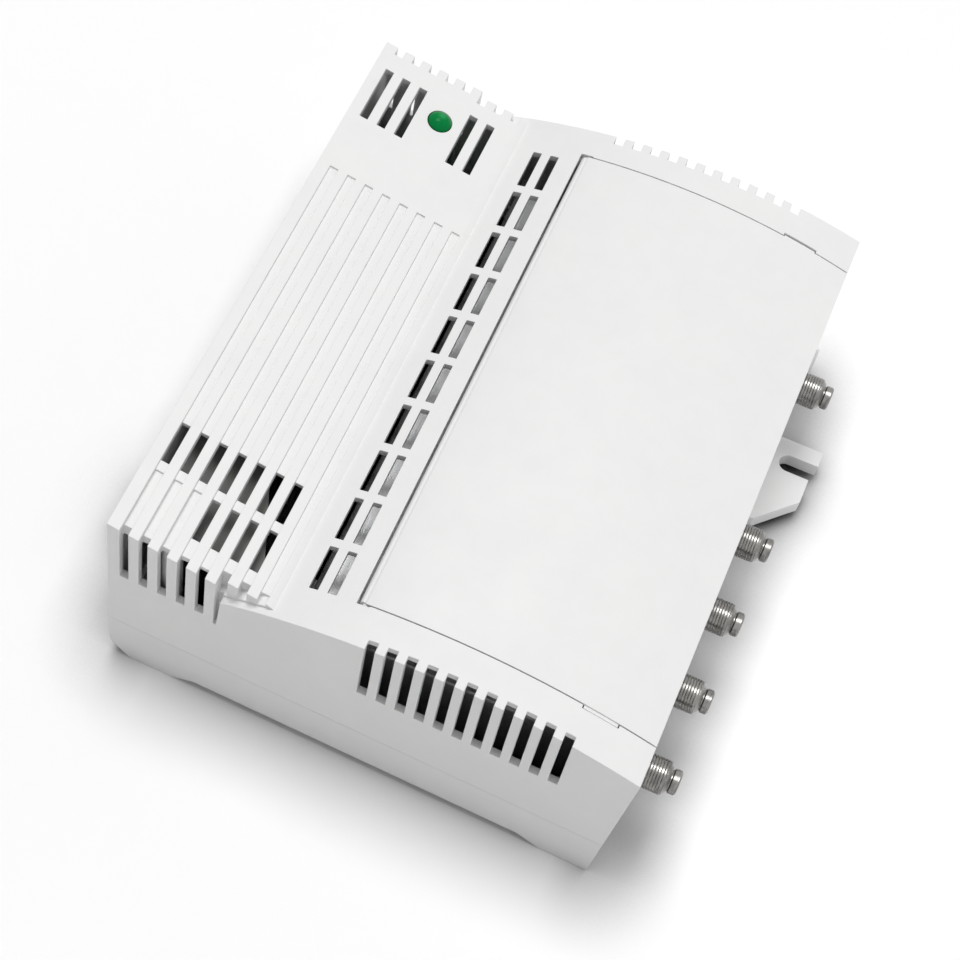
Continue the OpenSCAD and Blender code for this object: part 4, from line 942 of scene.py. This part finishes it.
@dataclass
class MainsSection:
    """Transformer, boards and power parts in the left half of the case."""

    wire_pitch: float = 0.62
    wire_bulge: float = 0.10
    wire_rows: int = 6
    corner: float = 2.2
    tape_crease: float = 50.0
    choke_turns: int = 22
    choke_wire: float = 0.42
    choke_gap: float = 0.02
    core_steps: int = 72
    core_sides: int = 20
    turn_steps: int = 20
    wire_sides: int = 8
    card_edge: float = 0.09
    terminal_edge: float = 0.04
    film_edge: float = 0.6

    def build(self) -> None:
        """Wind the transformer and the choke, and make the fuse."""
        self._winding()
        self._choke()
        GlassFuse().build()

    def dress(self) -> None:
        """Finish the pieces that stay as the frame has them."""
        for board in ("psu_board", "led_board"):
            dress_node(board, BOARD, EDGE_THIN)
        dress_node("psu_screws", NICKEL, EDGE_SHEET)
        dress_node("transformer_core", LAMINATIONS, EDGE_PART)
        for node in ("transformer_bobbin", "fuse_holder", "bridge_rectifier", "regulator",
                     "supply_jumper"):
            dress_node(node, BLACK, EDGE_PART)
        dress_node("section_barrier", CARD, self.card_edge)
        dress_node("mains_terminal", TERMINAL_BLUE, self.terminal_edge)
        dress_node("suppression_capacitor", FILM_YELLOW, self.film_edge)
        for number in (1, 2):
            dress_node(f"reservoir_capacitor_{number}", SLEEVE_NAVY, EDGE_TINY)
        dress_node("heat_sink", ANODISED, EDGE_SHEET)

    def _planes(self, node: str, axis: int) -> list[float]:
        """List a node's distinct vertex places along an axis, in millimetres."""
        found = {round(vertex.co[axis] / MM, 2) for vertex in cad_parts[node].data.vertices}
        return sorted(found)

    def _winding(self) -> None:
        """Wind the turns round the core's middle leg and lap tape over them."""
        node = "transformer_winding"
        x = self._planes(node, 0)
        y = self._planes(node, 1)
        z = self._planes(node, 2)
        low, high = z[0], z[-1]
        rows = self.wire_rows * int((high - low) / self.wire_pitch)
        form = bmesh.new()
        loops = [self._rectangle(form, x[1], x[-2], y[1], y[-2], low, 0.0)]
        for row in range(rows + 1):
            up = low + (high - low) * row / rows
            turn = abs(math.sin(math.pi * (up - low) / self.wire_pitch))
            pull = self.wire_bulge * (1.0 - turn)
            loops.append(self._rectangle(form, x[0] + pull, x[-1] - pull, y[0] + pull,
                                         y[-1] - pull, up, self.corner))
        loops.append(self._rectangle(form, x[1], x[-2], y[1], y[-2], high, 0.0))
        skin(form, loops)
        bmesh.ops.recalc_face_normals(form, faces=form.faces)
        piece = piece_from(form, "taped_winding", TAPE, Body.CASE, self.tape_crease)
        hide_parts(node)

    @staticmethod
    def _rectangle(form: bmesh.types.BMesh, x0: float, x1: float, y0: float, y1: float,
                   z: float, corner: float) -> list[bmesh.types.BMVert]:
        """Add one loop of the winding.

        Args:
            form: The form that gets the vertices.
            x0: Left side.
            x1: Right side.
            y0: Near side.
            y1: Far side.
            z: Height.
            corner: Radius of the corners.

        Returns:
            The loop's vertices in order.
        """
        arc, least = 5, 0.01
        spread = max(corner, least)
        loop = []
        for quarter, (cx, cy) in enumerate((
                (x1 - corner, y1 - corner), (x0 + corner, y1 - corner),
                (x0 + corner, y0 + corner), (x1 - corner, y0 + corner))):
            for step in range(arc):
                angle = 0.25 * TURN * (quarter + step / (arc - 1))
                loop.append(form.verts.new(((cx + spread * math.cos(angle)) * MM,
                                            (cy + spread * math.sin(angle)) * MM, z * MM)))
        return loop

    def _choke(self) -> None:
        """Make the choke's ring core and wind enamelled wire round it."""
        low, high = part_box("line_choke")
        centre = (low + high) / 2.0 / MM
        section = (high.x - low.x) / 2.0 / MM
        ring = (high.z - low.z) / 2.0 / MM - section
        core = self._tube(lambda t: self._on_ring(centre, ring, t), self.core_steps,
                          self.core_sides, section - 2.0 * self.choke_wire - self.choke_gap)
        piece_from(core, "choke_core", ANODISED, Body.CASE)
        wound = section - self.choke_wire
        turns = self.choke_turns

        def on_wire(t: float) -> Vector:
            """Give a point of the wire, at a share of its way round the ring."""
            spin = TURN * turns * t
            outward = self._on_ring(Vector((0.0, 0.0, 0.0)), 1.0, t)
            at = self._on_ring(centre, ring, t) + outward * (wound * math.cos(spin))
            at.x += wound * math.sin(spin)
            return at

        wire = self._tube(on_wire, turns * self.turn_steps, self.wire_sides, self.choke_wire)
        piece = piece_from(wire, "choke_turns", COPPER, Body.CASE)
        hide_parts("line_choke")

    @staticmethod
    def _on_ring(centre: Vector, radius: float, t: float) -> Vector:
        """Give a point of a ring about the X axis, at a share of its turn."""
        return Vector((centre.x, centre.y + radius * math.cos(TURN * t),
                       centre.z + radius * math.sin(TURN * t)))

    @staticmethod
    def _tube(path: Callable[[float], Vector], steps: int, sides: int, radius: float
              ) -> bmesh.types.BMesh:
        """Skin a closed path with a round section.

        Args:
            path: Point at each share of the way, in millimetres.
            steps: Rings along the path.
            sides: Sides of the section.
            radius: Radius of the section.

        Returns:
            The tube, in metres.
        """
        form = bmesh.new()
        loops = []
        aside = 0.25 / steps
        almost_along = 0.2
        for step in range(steps):
            t = step / steps
            ahead = (path(t + aside) - path(t - aside)).normalized()
            across = ahead.cross(Vector((1.0, 0.0, 0.0)))
            if across.length < almost_along:
                across = ahead.cross(Vector((0.0, 1.0, 0.0)))
            across.normalize()
            up = across.cross(ahead).normalized()
            loop = []
            for side in range(sides):
                angle = TURN * side / sides
                out = across * (radius * math.cos(angle)) + up * (radius * math.sin(angle))
                loop.append(form.verts.new((path(t) + out) * MM))
            loops.append(loop)
        skin(form, loops)
        bmesh.ops.recalc_face_normals(form, faces=form.faces)
        return form


@dataclass
class ScreeningBox:
    """Tinned box with the signal board, its controls and the parts behind the connectors."""

    controls: int = 4
    walls: int = 4
    wall_edge: float = 0.08
    module_edge: float = 0.3

    def dress(self) -> None:
        """Finish the box and what it holds."""
        dress_node("rf_chassis", TINPLATE, EDGE_SHEET)
        dress_node("rf_shield_lid", TINPLATE, EDGE_SHEET)
        for number in range(1, self.walls + 1):
            dress_node(f"rf_divider_{number}", TINPLATE, self.wall_edge)
        dress_node("chassis_screws", NICKEL, EDGE_SHEET)
        dress_node("rf_board", BOARD, EDGE_THIN)
        dress_node("amplifier_module", BLACK, self.module_edge)
        dress_node("feed_through", BRASS, EDGE_THIN)
        dress_node("dc_switch_body", BLACK, EDGE_PART)
        dress_node("dc_switch_slider", CONTROL_WHITE, EDGE_SOFT)
        for number in range(1, self.controls + 1):
            dress_node(f"gain_trimmer_{number}", TRIMMER_BLUE, EDGE_SOFT)
            dress_node(f"gain_knob_{number}", CONTROL_WHITE, EDGE_TINY)


@dataclass
class Studio:
    """Pale floor, soft light from above, and the photograph's camera."""

    eye: Triple = (58.39841, -336.11138, 574.09865)
    right: Triple = (0.91843653, 0.37426224, 0.1280707)
    down: Triple = (0.3854368, -0.77390425, -0.50250442)
    ahead: Triple = (-0.08895397, 0.51088158, -0.85503638)
    lens: float = 86.57193
    sensor: float = 36.0
    floor_half: float = 6000.0
    floor_colour: Colour = (0.96, 0.96, 0.96, 1.0)
    floor_roughness: float = 0.9
    shade_colour: Colour = (0.0, 0.0, 0.0, 1.0)
    shade_reach: float = 25.0
    shade_from: Pair = (60.0, 80.0)
    shade_share: Pair = (0.12, 1.35)
    shade_samples: int = 8
    lamp: float = 2.06
    lamp_spread: float = 30.0
    lamp_from: Triple = (-0.14, 0.15, 0.979)
    sky_left: Colour = (0.02, 0.02, 0.02, 1.0)
    sky_right: Colour = (0.76, 0.76, 0.76, 1.0)
    sky_towards: Triple = (0.92, 0.39, 0.0)
    backdrop: Colour = (1.0, 1.0, 1.0, 1.0)

    def build(self) -> None:
        """Set the camera, the floor and the light."""
        self._camera()
        self._floor()
        self._light()
        self._sky()
        bpy.context.scene.view_settings.view_transform = "Standard"

    def _camera(self) -> None:
        """Stand the camera where the photograph was taken."""
        data = bpy.data.cameras.new("photo_camera")
        data.sensor_width = self.sensor
        data.lens = self.lens
        camera = bpy.data.objects.new("photo_camera", data)
        bpy.context.scene.collection.objects.link(camera)
        turn = Matrix((Vector(self.right), -Vector(self.down), -Vector(self.ahead))).transposed()
        camera.matrix_world = Matrix.Translation(Vector(self.eye) * MM) @ turn.to_4x4()
        bpy.context.scene.camera = camera

    def _floor(self) -> None:
        """Lay the pale floor at the feet."""
        form = bmesh.new()
        bmesh.ops.create_grid(form, x_segments=4, y_segments=4, size=self.floor_half * MM)
        data = bpy.data.meshes.new("floor")
        form.to_mesh(data)
        form.free()
        data.materials.append(self._floor_material())
        floor = bpy.data.objects.new("floor", data)
        bpy.context.scene.collection.objects.link(floor)

    def _floor_material(self) -> bpy.types.Material:
        """Make the matt floor, shaded where the case stands close, most at its long sides.

        Returns:
            The floor's material.
        """
        material = bpy.data.materials.new("pale_floor")
        material.use_nodes = True
        shader = material.node_tree.nodes["Principled BSDF"]
        graph = Graph(material.node_tree)
        place = graph.node("ShaderNodeTexCoord").outputs["Object"]
        across = graph.node("ShaderNodeSeparateXYZ", {0: place}).outputs["X"]
        start, full = (distance * MM for distance in self.shade_from)
        beside = graph.span(graph.math("ABSOLUTE", across), (start, full), self.shade_share)
        free = graph.node("ShaderNodeAmbientOcclusion", {"Distance": self.shade_reach * MM},
                          samples=self.shade_samples).outputs["AO"]
        shade = graph.math("MULTIPLY", graph.math("SUBTRACT", 1.0, free), beside)
        graph.link(graph.blend(shade, self.floor_colour, self.shade_colour),
                   shader.inputs["Base Color"])
        shader.inputs["Roughness"].default_value = self.floor_roughness
        shader.inputs["Specular IOR Level"].default_value = 0.0
        return material

    def _light(self) -> None:
        """Hang one broad, soft lamp overhead."""
        data = bpy.data.lights.new("soft_lamp", "SUN")
        data.energy = self.lamp
        data.angle = math.radians(self.lamp_spread)
        lamp = bpy.data.objects.new("soft_lamp", data)
        bpy.context.scene.collection.objects.link(lamp)
        lamp.rotation_euler = Vector(self.lamp_from).to_track_quat("Z", "Y").to_euler()

    def _sky(self) -> None:
        """Fill from all round, stronger from the right; the background itself is white."""
        world = bpy.data.worlds.new("studio")
        world.use_nodes = True
        bpy.context.scene.world = world
        graph = Graph(world.node_tree)
        world.node_tree.nodes.clear()
        facing = graph.node("ShaderNodeTexCoord").outputs["Generated"]
        side = graph.node("ShaderNodeVectorMath", {0: facing, 1: self.sky_towards},
                          operation="DOT_PRODUCT").outputs["Value"]
        tone = graph.blend(graph.span(side, (-1.0, 1.0)), self.sky_left, self.sky_right)
        fill = graph.node("ShaderNodeBackground", {"Color": tone, "Strength": 1.0})
        white = graph.node("ShaderNodeBackground", {"Color": self.backdrop, "Strength": 1.0})
        ray = graph.node("ShaderNodeLightPath").outputs
        seen = graph.math("MAXIMUM", ray["Is Camera Ray"],
                          graph.math("MAXIMUM", ray["Is Glossy Ray"], ray["Is Transmission Ray"]))
        mixed = graph.node("ShaderNodeMixShader", {
            0: seen, 1: fill.outputs[0], 2: white.outputs[0]})
        graph.node("ShaderNodeOutputWorld", {"Surface": mixed.outputs[0]})


def main() -> None:
    """Build and dress the sub-assemblies in order."""
    logging.basicConfig(level=logging.INFO, format="%(message)s")
    Studio().build()
    MouldedCase().dress()
    IndicatorLens().build()
    connectors = CoaxialConnectors()
    connectors.build()
    connectors.dress()
    mains = MainsSection()
    mains.build()
    mains.dress()
    ScreeningBox().dress()


if __name__ == "__main__":
    main()
